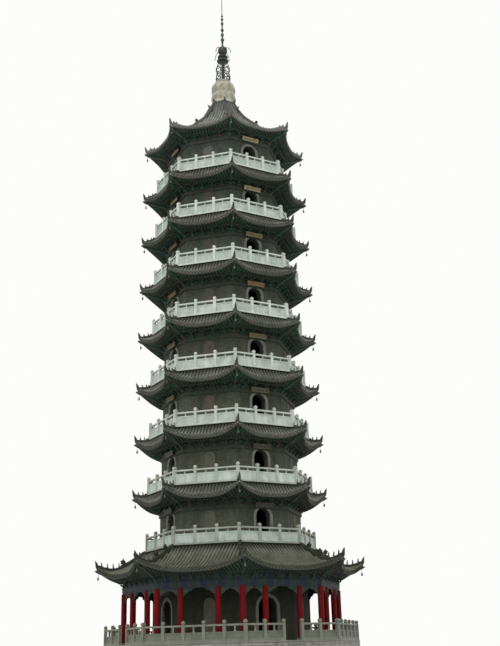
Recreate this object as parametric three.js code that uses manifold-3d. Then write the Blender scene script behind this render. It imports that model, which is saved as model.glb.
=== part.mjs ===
// A nine-storey octagonal pagoda, modelled at half size.
// Brick walls stand behind a columned veranda on the ground storey and behind balustraded
// balconies on the eight storeys above; every storey carries a tiled roof with upturned corners.
// The tower stands on +Z with its origin at the centre of the base. Doors face +X, -X, +Y and -Y.

import * as THREE from 'three';
import { mergeVertices } from 'three/addons/utils/BufferGeometryUtils.js';
import Module from 'manifold-3d';

const wasm = await Module();
wasm.setup();

// Scale: one metre of the tower is 500 mm here. The sizes below are the tower's own, in metres.
const MM_PER_METRE = 500;

// Plan
const SIDES = 8;
const TURN = (2 * Math.PI) / SIDES;
const HALF_TURN = TURN / 2;
const APOTHEM = Math.cos(HALF_TURN);

// Terrace
const TERRACE_HEIGHT = 1.5;
const TERRACE_RADIUS = 9.3;
const TERRACE_FOOT = 0.12;
const TERRACE_FOOT_HEIGHT = 0.3;
const COPING_HEIGHT = 0.14;
const COPING_WIDTH = 0.5;
const STEP_COUNT = 9;
const STEP_TREAD = 0.28;
const FLIGHT_WIDTH = 1.4;
const FLIGHT_SEAT = 0.004;
const CHEEK_WIDTH = 0.26;
const CHEEK_TOE = 0.12;

// Joint left between neighbouring lengths of a ring that is laid in quarters or halves, in mm
const LENGTH_JOINT = 0.4;

// Storeys: the ground storey and the seven above it, floor to floor, then the top storey
const STOREY_HEIGHTS = [6.45, 4.18, 4.22, 4.23, 4.23, 4.23, 4.16, 4.07, 4.5];
const TOP_STOREY = STOREY_HEIGHTS.length;
const TAPER = 0.086;
const FLOOR_THICKNESS = 0.35;
const FLOOR_LIP = 0.1;

// Balustrades
const BALUSTRADE_RADIUS = 6.25;
const BALUSTRADE_THICKNESS = 0.17;
const RAIL_TOP = 1.07;
const POST_TOP = 1.33;
const POST_WIDTH = 0.22;
const CORNER_POST_REACH = 0.14;
const POST_INSET = 0.012;
const BALCONY_BAYS = 3;
const TERRACE_BALUSTRADE_RADIUS = 9.12;
const TERRACE_BAYS = 5;
const GATE_CLEARANCE = 1;

// Walls and doorways
const BALCONY_WIDTH = 0.95;
const WALL_THICKNESS = 0.6;
const GROUND_WALL_RADIUS = 5.6;
const GROUND_WALL_THICKNESS = 0.9;
const DOOR_WIDTH = 1.15;
const DOOR_HEIGHT = 2.5;
const GROUND_DOOR_WIDTH = 1.5;
const GROUND_DOOR_HEIGHT = 2.9;
const ARCH_STEPS = 6;

// Veranda
const COLUMN_RING_RADIUS = 7.85;
const COLUMN_DIAMETER = 0.38;
const COLUMN_SIDES = 10;
const COLUMN_PLACES = [0, 0.28, 0.72];
const COLUMN_TOP = 4.95;
const LINTEL_HEIGHT = 0.45;
const LINTEL_WIDTH = 0.3;
const LINTEL_BRACKET_REACH = 0.3;

// Roofs of the upper storeys, with heights measured down from the floor that each carries
const BRACKET_DROP = 1.45;
const SEAT_DROP = 0.95;
const EAVE_DROP = 1.17;
const FASCIA_HEIGHT = 0.3;
const BRACKET_REACH = 0.6;
const EAVE_SETBACK = 0.55;
const TIP_RADIUS = 7.36;
const TIP_RISE = 0.2;
const TIP_RISE_LOSS = 0.065;
const HORN_HEIGHT = 0.62;
const HORN_OVERHANG = 0.06;
const RIDGE_WIDTH = 0.22;
const RIDGE_HEIGHT = 0.22;
const SWEEP_POWER = 3;
const EAVE_STATIONS = [-1, -0.68, 0, 0.68];

// Horn outline, as distance back from the tip and height over the top of the fascia
const HORN_TOE = [[0.09, -0.12], [0.02, 0.08]];
const HORN_BACK = [[0.14, 0.16], [0.4, 0.1]];
const RIDGE_ROOT_CLEARANCE = 0.02;
const RIDGE_ROOT_DEPTH = 0.1;

// Ground storey roof, with the slope as distance out, height, flare and lift
const GROUND_SEAT = 5.95;
const GROUND_SEAT_APOTHEM = 7.75;
const GROUND_EAVE_APOTHEM = 8.65;
const GROUND_EAVE = 5.83;
const GROUND_TIP_RADIUS = 9.96;
const GROUND_TIP = 6.87;
const GROUND_SLOPE = [[8.05, 6.4, 0.1, 0.16], [7.15, 6.82, 0, 0.04]];
const GROUND_CREST = [[8.4, 6.85], [7.8, 7.1]];
const GROUND_CREST_RISE = 0.34;
const GROUND_RIDGE_DEPTH = 0.2;
const GROUND_RIDGE_UNDER = [8.2, 6.4];

// Top roof and the attic inside it, as distance out and height. The eaves are laid as a ring up to
// the foot of the peak, which stands on them in two halves.
const ROOF_TOP = 45.9;
const PEAK_FOOT = 41.6;
const TOP_SLOPE = [
  [4.62, 41.42],
  [3.75, 42.1],
  [2.9, 42.9],
  [2.2, 43.68],
  [1.65, 44.5],
  [1.25, 45.35],
  [1.08, ROOF_TOP],
];
const TOP_SLOPE_LIFT = 0.12;
const TOP_RIDGE_DEPTH = 0.14;
const ATTIC = [[0, 44.9], [1.05, 44.2], [2.5, 42.6], [3.9, 41.4]];

// Spire, as radii and heights above the ground
const DRUM_TOP = 48.32;
const DRUM_OUTLINE = [
  [0, ROOF_TOP],
  [1.09, ROOF_TOP],
  [1.09, 46.1],
  [0.97, 46.24],
  [1.06, 46.55],
  [1.04, 46.9],
  [0.95, 47.1],
  [1.05, 47.5],
  [1.0, 47.9],
  [0.72, 48.14],
  [0.72, DRUM_TOP],
  [0, DRUM_TOP],
];
const CAGE_TOP = 50.3;
const CAGE_RING = 0.12;
const CAGE_RINGS = [[0.62, DRUM_TOP], [0.66, 49.3], [0.62, CAGE_TOP - CAGE_RING]];
const CAGE_RIB = 0.08;
const CAGE_RIB_RADIUS = 0.56;
const MAST_RADIUS = 0.2;
const MAST_DISCS = [
  [MAST_RADIUS, 50.4],
  [0.52, 50.6],
  [0.52, 50.7],
  [MAST_RADIUS, 50.8],
  [0.45, 50.98],
  [0.45, 51.06],
  [0.15, 51.2],
];
const BALL = [[0.34, 51.46], [0.42, 51.7], [0.3, 51.98], [0.08, 52.1]];
const BEADS = [[52.87, 0.14], [53.41, 0.14], [53.9, 0.14], [54.6, 0.14], [55.05, 0.14], [55.4, 0.1]];
const BEAD_NECK = 0.06;
const ROD_FOOT = [0.035, 55.7];
const ROD_RADIUS = 0.03;
const SPIRE_TOP = 57.2;
const DRUM_SIDES = 16;
const BRONZE_SIDES = 10;

const mm = (metres) => Math.round(metres * MM_PER_METRE);
const mmPoints = (outline) => outline.map((point) => point.map(mm));

// Solids

function toSolid(geometry) {
  geometry.deleteAttribute('normal');
  geometry.deleteAttribute('uv');
  const merged = mergeVertices(geometry, 1e-3);
  const index = merged.index.array;
  const triVerts = [];
  for (let i = 0; i < index.length; i += 3) {
    const [a, b, c] = [index[i], index[i + 1], index[i + 2]];
    if (a !== b && b !== c && c !== a) {
      triVerts.push(a, b, c);
    }
  }
  const vertProperties = new Float32Array(merged.attributes.position.array);
  const mesh = new wasm.Mesh({ numProp: 3, vertProperties, triVerts: new Uint32Array(triVerts) });
  return new wasm.Manifold(mesh);
}

function toGeometry(solid) {
  const { vertProperties, triVerts } = solid.getMesh();
  const geometry = new THREE.BufferGeometry();
  geometry.setAttribute('position', new THREE.BufferAttribute(vertProperties, 3));
  geometry.setIndex(new THREE.BufferAttribute(triVerts, 1));
  geometry.computeVertexNormals();
  return geometry;
}

const join = (solids) => solids.reduce((whole, piece) => whole.add(piece));

// An outline raised from one level to another
function prism(shape, bottom, top) {
  const geometry = new THREE.ExtrudeGeometry(shape, { depth: top - bottom, bevelEnabled: false });
  geometry.translate(0, 0, bottom);
  return toSolid(geometry);
}

// An upright outline, drawn as distance out and height, made `width` thick and turned to an angle
function upright(outline, width, angle) {
  const shape = new THREE.Shape(outline.map(([out, height]) => new THREE.Vector2(out, height)));
  const geometry = new THREE.ExtrudeGeometry(shape, { depth: width, bevelEnabled: false });
  geometry.translate(0, 0, -width / 2);
  geometry.rotateX(Math.PI / 2);
  geometry.rotateZ(angle);
  return toSolid(geometry);
}

function box(size, centre, angle = 0) {
  const geometry = new THREE.BoxGeometry(...size);
  geometry.translate(...centre);
  geometry.rotateZ(angle);
  return toSolid(geometry);
}

// A round solid about the vertical axis; the outline starts and ends on the axis or on itself
function turned(outline, sides) {
  const points = outline.map(([radius, height]) => new THREE.Vector2(radius, height));
  const geometry = new THREE.LatheGeometry(points, sides);
  geometry.rotateX(Math.PI / 2);
  return toSolid(geometry);
}

// An octagonal ring from a closed section. Each point is {apothem, z} with an optional flare and
// lift, which grow from nothing at the middle of a side to their full size at its corners.
function octagonalRing(section, stations = [-1]) {
  const outline = section.map((point) => new THREE.Vector2(point.apothem, point.z));
  const steps = SIDES * stations.length;
  const geometry = new THREE.LatheGeometry(outline, steps);
  const position = geometry.attributes.position;
  for (let step = 0; step <= steps; step += 1) {
    const place = stations[step % stations.length];
    const side = Math.floor(step / stations.length);
    const local = place * HALF_TURN;
    const angle = side * TURN + local;
    const growth = Math.abs(place) ** SWEEP_POWER;
    section.forEach((point, row) => {
      const { apothem, z, flare = 0, lift = 0 } = point;
      const radius = apothem / Math.cos(local) + flare * growth;
      const vertex = step * section.length + row;
      position.setXYZ(vertex, radius * Math.cos(angle), radius * Math.sin(angle), z + lift * growth);
    });
  }
  return toSolid(geometry);
}

// The part of a ring that faces one quarter of the compass, ended by upright cuts on the lines at
// 45 degrees, or on the axes when `turned45` is set
function quarterOf(ring, quarter, span, turned45) {
  const reach = span / 2;
  const back = LENGTH_JOINT / 2;
  const shape = new THREE.Shape();
  shape.moveTo(back * Math.SQRT2, 0);
  shape.lineTo(back * Math.SQRT2 + reach, -reach);
  shape.lineTo(back * Math.SQRT2 + reach, reach);
  const wedge = prism(shape, -1, span);
  const turn = quarter * 90 + (turned45 ? 45 : 0);
  return ring.intersect(wedge.rotate([0, 0, turn]));
}

// Plan outlines

function octagon(apothem) {
  const radius = apothem / APOTHEM;
  return Array.from({ length: SIDES }, (_, corner) => {
    const angle = (corner + 0.5) * TURN;
    return new THREE.Vector2(radius * Math.cos(angle), radius * Math.sin(angle));
  });
}

function octagonShape(outer, inner = 0) {
  const shape = new THREE.Shape(octagon(outer));
  if (inner > 0) {
    shape.holes.push(new THREE.Path(octagon(inner)));
  }
  return shape;
}

// Levels and radii of each storey, counted from 1 at the ground

const floorLevel = (storey) =>
  STOREY_HEIGHTS.slice(0, storey - 1).reduce((level, height) => level + height, TERRACE_HEIGHT);

const taper = (storey) => TAPER * (storey - 2);

function storeySizes(storey) {
  const next = floorLevel(storey + 1);
  const balustradeRadius = BALUSTRADE_RADIUS - taper(storey);
  const slabRadius = BALUSTRADE_RADIUS - taper(storey + 1) + FLOOR_LIP;
  const ground = storey === 1;
  const wallRadius = ground ? GROUND_WALL_RADIUS : balustradeRadius - BALCONY_WIDTH;
  const wallThickness = ground ? GROUND_WALL_THICKNESS : WALL_THICKNESS;
  const tipRadius = ground ? GROUND_TIP_RADIUS : TIP_RADIUS - taper(storey);
  const tipRise = TIP_RISE - TIP_RISE_LOSS * (storey - 2);
  return {
    floor: mm(floorLevel(storey)),
    wallTop: mm(ground ? GROUND_SEAT : next - BRACKET_DROP),
    seat: mm(ground ? GROUND_SEAT : next - SEAT_DROP),
    eave: mm(ground ? GROUND_EAVE : next - EAVE_DROP),
    slabBottom: mm(next - FLOOR_THICKNESS),
    balustradeApothem: mm(balustradeRadius * APOTHEM),
    slabApothem: mm(slabRadius * APOTHEM),
    wallApothem: mm(wallRadius * APOTHEM),
    innerApothem: mm(wallRadius * APOTHEM - wallThickness),
    eaveApothem: mm(ground ? GROUND_EAVE_APOTHEM : tipRadius * APOTHEM - EAVE_SETBACK),
    tipRadius: mm(tipRadius),
    tip: mm(ground ? GROUND_TIP : next + tipRise),
    doorWidth: mm(ground ? GROUND_DOOR_WIDTH : DOOR_WIDTH),
    doorHeight: mm(ground ? GROUND_DOOR_HEIGHT : DOOR_HEIGHT),
  };
}

// Terrace: an octagonal plinth with a flight of steps in front of each door

function flightOutline(apothem, height) {
  const riser = height / STEP_COUNT;
  const tread = mm(STEP_TREAD);
  const outline = [[apothem - tread, 0], [apothem + (STEP_COUNT - 1) * tread, 0]];
  for (let step = 1; step < STEP_COUNT; step += 1) {
    const out = apothem + (STEP_COUNT - step) * tread;
    outline.push([out, step * riser], [out - tread, step * riser]);
  }
  outline.push([apothem - tread, (STEP_COUNT - 1) * riser]);
  return outline;
}

function terrace() {
  const apothem = mm(TERRACE_RADIUS * APOTHEM);
  const copingBottom = mm(TERRACE_HEIGHT - COPING_HEIGHT);
  const height = mm(TERRACE_HEIGHT);
  const reach = (STEP_COUNT - 1) * mm(STEP_TREAD);
  const copingInner = apothem - mm(COPING_WIDTH);
  const body = prism(octagonShape(apothem), 0, copingBottom);
  const foot = prism(octagonShape(apothem + mm(TERRACE_FOOT)), 0, mm(TERRACE_FOOT_HEIGHT));
  const paving = prism(octagonShape(copingInner), copingBottom - mm(COPING_HEIGHT), height);
  const solids = [body, foot, paving];
  const cheekSlope = [
    [apothem - mm(STEP_TREAD), 0],
    [apothem + reach, 0],
    [apothem + reach, mm(CHEEK_TOE)],
    [apothem, copingBottom],
    [apothem - mm(STEP_TREAD), copingBottom],
  ];
  const cheekOffset = mm(FLIGHT_WIDTH + CHEEK_WIDTH) / 2;
  for (let quarter = 0; quarter < 4; quarter += 1) {
    const angle = (quarter * Math.PI) / 2;
    const width = mm(FLIGHT_WIDTH + FLIGHT_SEAT);
    solids.push(upright(flightOutline(apothem, copingBottom), width, angle));
    for (const side of [-1, 1]) {
      const cheek = upright(cheekSlope, mm(CHEEK_WIDTH), 0);
      const turn = (angle * 180) / Math.PI;
      solids.push(cheek.translate([0, side * cheekOffset, 0]).rotate([0, 0, turn]));
    }
  }
  return join(solids);
}

// Balustrades: a band of panels with a rail top, and post heads that stand above it

function postHeads(apothem, bays, bottom, top) {
  const solids = [];
  const inset = mm(BALUSTRADE_THICKNESS) / 2 - mm(POST_INSET);
  const [outer, inner] = [apothem + inset, apothem - inset];
  const reach = mm(CORNER_POST_REACH);
  const sideLength = 2 * apothem * Math.tan(HALF_TURN);
  for (let side = 0; side < SIDES; side += 1) {
    const angle = side * TURN;
    for (let post = 1; post < bays; post += 1) {
      const along = (post / bays - 0.5) * sideLength;
      const size = [outer - inner, mm(POST_WIDTH), top - bottom];
      solids.push(box(size, [apothem, along, (top + bottom) / 2], angle));
    }
    const corner = new THREE.Shape();
    const ends = [outer, inner].map((at) => [at, at * Math.tan(HALF_TURN)]);
    const [[outerX, outerY], [innerX, innerY]] = ends;
    const centre = new THREE.Vector2();
    const after = (x, y) => new THREE.Vector2(x, -y).rotateAround(centre, TURN);
    corner.setFromPoints([
      new THREE.Vector2(innerX, innerY - reach),
      new THREE.Vector2(outerX, outerY - reach),
      new THREE.Vector2(outerX, outerY),
      after(outerX, outerY - reach),
      after(innerX, innerY - reach),
      new THREE.Vector2(innerX, innerY),
    ]);
    const head = prism(corner, bottom, top);
    solids.push(head.rotate([0, 0, side * (360 / SIDES)]));
  }
  return solids;
}

function balustrade(apothem, bays, floor) {
  const half = mm(BALUSTRADE_THICKNESS) / 2;
  const railTop = floor + mm(RAIL_TOP);
  const band = prism(octagonShape(apothem + half, apothem - half), floor, railTop);
  const heads = postHeads(apothem, bays, railTop - mm(POST_WIDTH), floor + mm(POST_TOP));
  return join([band, ...heads]);
}

function terraceBalustrade() {
  const apothem = mm(TERRACE_BALUSTRADE_RADIUS * APOTHEM);
  const edge = mm(TERRACE_RADIUS * APOTHEM);
  const floor = mm(TERRACE_HEIGHT);
  const gap = mm((2 * TERRACE_BALUSTRADE_RADIUS * Math.sin(HALF_TURN)) / TERRACE_BAYS - POST_WIDTH);
  const span = 3 * edge;
  const height = mm(POST_TOP + GATE_CLEARANCE);
  const gate = (size) => box(size, [0, 0, floor + height / 2]);
  const rails = balustrade(apothem, TERRACE_BAYS, floor)
    .subtract(gate([span, gap, height]))
    .subtract(gate([gap, span, height]));
  const copingShape = octagonShape(edge, edge - mm(COPING_WIDTH));
  const coping = prism(copingShape, mm(TERRACE_HEIGHT - COPING_HEIGHT), floor);
  return coping.add(rails);
}

// Veranda: round columns under an octagonal lintel

function veranda() {
  const apothem = mm(COLUMN_RING_RADIUS * APOTHEM);
  const [bottom, top] = [mm(TERRACE_HEIGHT), mm(COLUMN_TOP)];
  const half = mm(LINTEL_WIDTH) / 2;
  const lintelShape = octagonShape(apothem + half, apothem - half);
  const solids = [prism(lintelShape, top, top + mm(LINTEL_HEIGHT))];
  const sideLength = 2 * apothem * Math.tan(HALF_TURN);
  const radius = mm(COLUMN_DIAMETER) / 2;
  const height = top + mm(LINTEL_HEIGHT) / 2 - bottom;
  for (let side = 0; side < SIDES; side += 1) {
    for (const place of COLUMN_PLACES) {
      const geometry = new THREE.CylinderGeometry(radius, radius, height, COLUMN_SIDES);
      geometry.rotateX(Math.PI / 2);
      geometry.translate(apothem, (place - 0.5) * sideLength, bottom + height / 2);
      geometry.rotateZ(side * TURN);
      solids.push(toSolid(geometry));
    }
  }
  return join(solids);
}

// Walls: an octagonal ring with an arched doorway through each of four sides

function archway(width, height, floor, span, angle) {
  const radius = width / 2;
  const spring = floor + height - radius;
  const shape = new THREE.Shape();
  shape.moveTo(-radius, floor - 1);
  shape.lineTo(radius, floor - 1);
  shape.lineTo(radius, spring);
  for (let step = 1; step < ARCH_STEPS; step += 1) {
    const turn = (step / ARCH_STEPS) * Math.PI;
    shape.lineTo(radius * Math.cos(turn), spring + radius * Math.sin(turn));
  }
  shape.lineTo(-radius, spring);
  const geometry = new THREE.ExtrudeGeometry(shape, { depth: span, bevelEnabled: false });
  geometry.translate(0, 0, -span / 2);
  geometry.rotateX(Math.PI / 2);
  geometry.rotateZ(angle);
  return toSolid(geometry);
}

function wall({ floor, wallTop, wallApothem, innerApothem, doorWidth, doorHeight }) {
  const ring = prism(octagonShape(wallApothem, innerApothem), floor, wallTop);
  const span = 3 * wallApothem;
  return ring
    .subtract(archway(doorWidth, doorHeight, floor, span, 0))
    .subtract(archway(doorWidth, doorHeight, floor, span, Math.PI / 2));
}

// Bracket courses: three steps that carry the eave out from the wall or from the lintel

function bracketCourse(innerApothem, outerApothem, reach, bottom, top) {
  const rise = (top - bottom) / 3;
  const section = [{ apothem: innerApothem, z: bottom }];
  for (let course = 0; course < 3; course += 1) {
    const apothem = outerApothem + (reach * course) / 2;
    section.push({ apothem, z: bottom + course * rise });
    section.push({ apothem, z: bottom + (course + 1) * rise });
  }
  section.push({ apothem: innerApothem, z: top }, { apothem: innerApothem, z: bottom });
  return octagonalRing(section);
}

// Roofs: a tiled ring that sweeps out and up to its corners, with a hip ridge and horn on each

function hips(outline) {
  const solids = [];
  for (let corner = 0; corner < SIDES; corner += 1) {
    solids.push(upright(outline, mm(RIDGE_WIDTH), (corner + 0.5) * TURN));
  }
  return solids;
}

function eavePoints({ eaveApothem, eave, tipRadius, tip }) {
  const flare = tipRadius - mm(HORN_OVERHANG) - eaveApothem / APOTHEM;
  const lift = tip - mm(HORN_HEIGHT) - eave;
  return [
    { apothem: eaveApothem, z: eave, flare, lift },
    { apothem: eaveApothem, z: eave + mm(FASCIA_HEIGHT), flare, lift },
  ];
}

function horn({ tipRadius, tip }) {
  const fasciaTop = tip - mm(HORN_HEIGHT - FASCIA_HEIGHT);
  const place = ([back, above]) => [tipRadius - mm(back), fasciaTop + mm(above)];
  return [...HORN_TOE.map(place), [tipRadius, tip], ...HORN_BACK.map(place)];
}

function upperRoof(sizes) {
  const { innerApothem, wallApothem, slabApothem, slabBottom, seat } = sizes;
  const section = [
    { apothem: innerApothem, z: seat },
    { apothem: wallApothem + mm(BRACKET_REACH), z: seat },
    ...eavePoints(sizes),
    { apothem: slabApothem, z: slabBottom },
    { apothem: innerApothem, z: slabBottom },
    { apothem: innerApothem, z: seat },
  ];
  const root = slabApothem / APOTHEM + mm(RIDGE_ROOT_CLEARANCE);
  const ridge = [
    [root, slabBottom + mm(RIDGE_HEIGHT)],
    [root, slabBottom - mm(RIDGE_ROOT_DEPTH)],
    ...horn(sizes),
  ];
  return join([octagonalRing(section, EAVE_STATIONS), ...hips(ridge)]);
}

function groundRoof(sizes) {
  const { innerApothem, slabApothem, slabBottom, seat } = sizes;
  const section = [
    { apothem: innerApothem, z: seat },
    { apothem: mm(GROUND_SEAT_APOTHEM), z: seat },
    ...eavePoints(sizes),
    ...mmPoints(GROUND_SLOPE).map(([apothem, z, flare, lift]) => ({ apothem, z, flare, lift })),
    { apothem: slabApothem, z: slabBottom },
    { apothem: innerApothem, z: slabBottom },
    { apothem: innerApothem, z: seat },
  ];
  const root = slabApothem / APOTHEM + mm(RIDGE_ROOT_CLEARANCE);
  const ridge = [
    ...mmPoints(GROUND_CREST),
    [root, slabBottom + mm(GROUND_CREST_RISE)],
    [root, slabBottom - mm(GROUND_RIDGE_DEPTH)],
    GROUND_RIDGE_UNDER.map(mm),
    ...horn(sizes),
  ];
  return join([octagonalRing(section, EAVE_STATIONS), ...hips(ridge)]);
}

function topRoof(sizes) {
  const { innerApothem, wallApothem, seat, tip, tipRadius } = sizes;
  const liftOf = (index) => (index === 0 ? mm(TOP_SLOPE_LIFT) : 0);
  const section = [
    { apothem: innerApothem, z: seat },
    { apothem: wallApothem + mm(BRACKET_REACH), z: seat },
    ...eavePoints(sizes),
    ...mmPoints(TOP_SLOPE).map(([apothem, z], index) => ({ apothem, z, lift: liftOf(index) })),
    { apothem: 0, z: mm(ROOF_TOP) },
    ...mmPoints(ATTIC).map(([apothem, z]) => ({ apothem, z })),
    { apothem: innerApothem, z: seat },
  ];
  const hipPoint = ([apothem, z], above) => [mm(apothem / APOTHEM), mm(z + above)];
  const crest = TOP_SLOPE.map((point) => hipPoint(point, RIDGE_HEIGHT)).reverse();
  const under = TOP_SLOPE.map((point) => hipPoint(point, -TOP_RIDGE_DEPTH));
  const ridge = [
    ...crest.slice(1),
    ...horn({ tipRadius, tip }).reverse(),
    ...under.slice(0, -1),
  ];
  return join([octagonalRing(section, EAVE_STATIONS), ...hips(ridge)]);
}

// The eave ring of the top roof and the two halves of its peak
function dividedTopRoof(sizes) {
  const roof = topRoof(sizes);
  const span = mm(4 * TERRACE_RADIUS);
  const above = (x) => box([span, span, span], [x, 0, mm(PEAK_FOOT) + span / 2]);
  const aside = (span + LENGTH_JOINT) / 2;
  return {
    eaves: roof.subtract(above(0)),
    right: roof.intersect(above(aside)),
    left: roof.intersect(above(-aside)),
  };
}

// Spire: a stone drum, a bronze cage of ribs and rings, and a mast with a ball and beads

function cage() {
  const solids = CAGE_RINGS.map(([radius, bottom]) => {
    const [inner, top] = [radius - CAGE_RING, bottom + CAGE_RING];
    const outline = [[inner, bottom], [radius, bottom], [radius, top], [inner, top], [inner, bottom]];
    return turned(mmPoints(outline), BRONZE_SIDES);
  });
  const height = mm(CAGE_TOP - DRUM_TOP - CAGE_RING);
  const centre = mm((CAGE_TOP + DRUM_TOP) / 2);
  for (let rib = 0; rib < SIDES; rib += 1) {
    const size = [mm(CAGE_RIB), mm(CAGE_RIB), height];
    solids.push(box(size, [mm(CAGE_RIB_RADIUS), 0, centre], rib * TURN));
  }
  return join(solids);
}

function mast() {
  const outline = [
    [0, DRUM_TOP],
    [MAST_RADIUS, DRUM_TOP],
    ...MAST_DISCS,
    ...BALL,
    ...BEADS.flatMap(([height, radius]) => [
      [BEAD_NECK, height - radius],
      [radius, height],
      [BEAD_NECK, height + radius],
    ]),
    ROD_FOOT,
    [ROD_RADIUS, SPIRE_TOP],
    [0, SPIRE_TOP],
  ];
  return turned(mmPoints(outline), BRONZE_SIDES);
}

// Materials

const finish = (color, roughness, metalness = 0) =>
  new THREE.MeshStandardMaterial({ color, roughness, metalness });

const marble = finish(0xb9c4bd, 0.6);
const stone = finish(0x8d8d85, 0.85);
const brick = finish(0x4c5148, 0.9);
const tile = finish(0x4b4b44, 0.75);
const timber = finish(0x2f3f3a, 0.7);
const redPaint = finish(0x7d1f1c, 0.5);
const slabPaint = finish(0x3a453a, 0.8);
const paleStone = finish(0xa8a290, 0.85);
const bronze = finish(0x3b4238, 0.5, 0.8);

// The tower

const pagoda = new THREE.Group();

function addPiece(name, solid, material) {
  const piece = new THREE.Mesh(toGeometry(solid), material);
  piece.name = name;
  pagoda.add(piece);
}

// The quarters of a ring lie round the four door sides or round the corners between them
const AT_DOORS = ['front', 'right', 'back', 'left'];
const AT_CORNERS = ['front_right', 'back_right', 'back_left', 'front_left'];

function addQuarters(name, ring, places, material) {
  const span = mm(4 * TERRACE_RADIUS);
  places.forEach((place, index) => {
    const length = quarterOf(ring, index - 1, span, places === AT_CORNERS);
    addPiece(`${name}_${place}`, length, material);
  });
}

addPiece('terrace', terrace(), stone);
addQuarters('veranda', veranda(), AT_DOORS, redPaint);
addQuarters('terrace_rail', terraceBalustrade(), AT_CORNERS, marble);

for (let storey = 1; storey <= TOP_STOREY; storey += 1) {
  const sizes = storeySizes(storey);
  if (storey > 1) {
    const below = storeySizes(storey - 1);
    const floorShape = octagonShape(below.slabApothem);
    addPiece(`floor_${storey}`, prism(floorShape, below.slabBottom, sizes.floor), slabPaint);
    const rails = balustrade(sizes.balustradeApothem, BALCONY_BAYS, sizes.floor);
    addPiece(`balustrade_${storey}`, rails, marble);
  }
  if (storey === 1) {
    addQuarters('wall_1', wall(sizes), AT_DOORS, brick);
    const ringApothem = mm(COLUMN_RING_RADIUS * APOTHEM);
    const half = mm(LINTEL_WIDTH) / 2;
    const bottom = mm(COLUMN_TOP) + mm(LINTEL_HEIGHT);
    const reach = mm(LINTEL_BRACKET_REACH);
    const [inner, outer] = [ringApothem - half, ringApothem + half];
    const course = bracketCourse(inner, outer, reach, bottom, sizes.seat);
    addPiece('brackets_1', course, timber);
    addPiece('roof_1', groundRoof(sizes), tile);
    continue;
  }
  addPiece(`wall_${storey}`, wall(sizes), brick);
  const { innerApothem, wallApothem, wallTop, seat } = sizes;
  const course = bracketCourse(innerApothem, wallApothem, mm(BRACKET_REACH), wallTop, seat);
  addPiece(`brackets_${storey}`, course, timber);
  if (storey < TOP_STOREY) {
    addPiece(`roof_${storey}`, upperRoof(sizes), tile);
  }
}

const crown = dividedTopRoof(storeySizes(TOP_STOREY));
addPiece(`roof_${TOP_STOREY}`, crown.eaves, tile);
addPiece('roof_peak_right', crown.right, tile);
addPiece('roof_peak_left', crown.left, tile);

addPiece('spire_drum', turned(mmPoints(DRUM_OUTLINE), DRUM_SIDES), paleStone);
addPiece('spire_cage', cage(), bronze);
addPiece('spire_mast', mast(), bronze);

export default pagoda;
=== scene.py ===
# %% [markdown]
# A nine-storey octagonal pagoda, at half the size of the real tower. The plain solids of the part
# are loaded first, as a fixed frame in metres. Everything below is built around them in the same
# place: tiles, rafters, brackets, carved balustrades, ridge figures, and the stone and the paint.

# %% The frame
import math

import bpy
from mathutils import Matrix, Vector


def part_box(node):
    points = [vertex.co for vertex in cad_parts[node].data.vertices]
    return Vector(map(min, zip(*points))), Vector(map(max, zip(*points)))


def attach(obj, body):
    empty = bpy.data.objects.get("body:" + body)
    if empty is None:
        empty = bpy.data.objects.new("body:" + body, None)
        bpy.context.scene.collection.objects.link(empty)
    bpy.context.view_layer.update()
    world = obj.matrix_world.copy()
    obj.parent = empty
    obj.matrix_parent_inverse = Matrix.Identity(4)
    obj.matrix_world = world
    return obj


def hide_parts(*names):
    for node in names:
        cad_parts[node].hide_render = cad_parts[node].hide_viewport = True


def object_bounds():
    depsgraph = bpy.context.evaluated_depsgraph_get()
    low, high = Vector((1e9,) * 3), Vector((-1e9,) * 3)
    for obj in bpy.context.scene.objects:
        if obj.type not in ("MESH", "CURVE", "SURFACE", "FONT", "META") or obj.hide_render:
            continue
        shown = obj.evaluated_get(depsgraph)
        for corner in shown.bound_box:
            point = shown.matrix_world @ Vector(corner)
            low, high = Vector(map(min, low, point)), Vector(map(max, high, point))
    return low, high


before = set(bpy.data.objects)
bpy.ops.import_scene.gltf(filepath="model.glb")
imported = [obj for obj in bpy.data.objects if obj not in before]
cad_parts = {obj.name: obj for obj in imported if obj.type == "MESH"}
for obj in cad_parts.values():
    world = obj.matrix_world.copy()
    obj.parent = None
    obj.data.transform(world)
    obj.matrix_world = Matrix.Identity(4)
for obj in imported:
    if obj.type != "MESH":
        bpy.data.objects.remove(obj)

cad_box = [list(corner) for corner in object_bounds()]
print("solids reach from", cad_box[0], "to", cad_box[1])

# %% [markdown]
# Sizes are easier to judge on the real tower, so they are written in its own metres and halved.
# All of them could be typed in again, but levels and widths that the solids already hold are read
# from the solids, so that the two models never drift apart.

# %% Sizes of the tower
HALF = 0.5
SIDES = 8
TURN = 2 * math.pi / SIDES
APOTHEM = math.cos(TURN / 2)
STOREYS = range(1, 10)
GROUND, TOP = 1, 9
RIDGE_WIDTH = 0.22 * HALF
WALL_THICKNESS = 0.6 * HALF
EAVE_BEHIND_TIP = 0.55 * HALF
TIP_RISE = 1.37 * HALF
TIP_RISE_LOST_PER_STOREY = 0.065 * HALF
GROUND_SIZES = {"thickness": 0.9 * HALF, "eave_out": 8.65 * HALF, "tip": 7.18 * HALF}


def halved(rows):
    """Rows of the real tower's numbers, brought to the model's size."""
    return [tuple(part * HALF for part in row) for row in rows]


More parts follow.
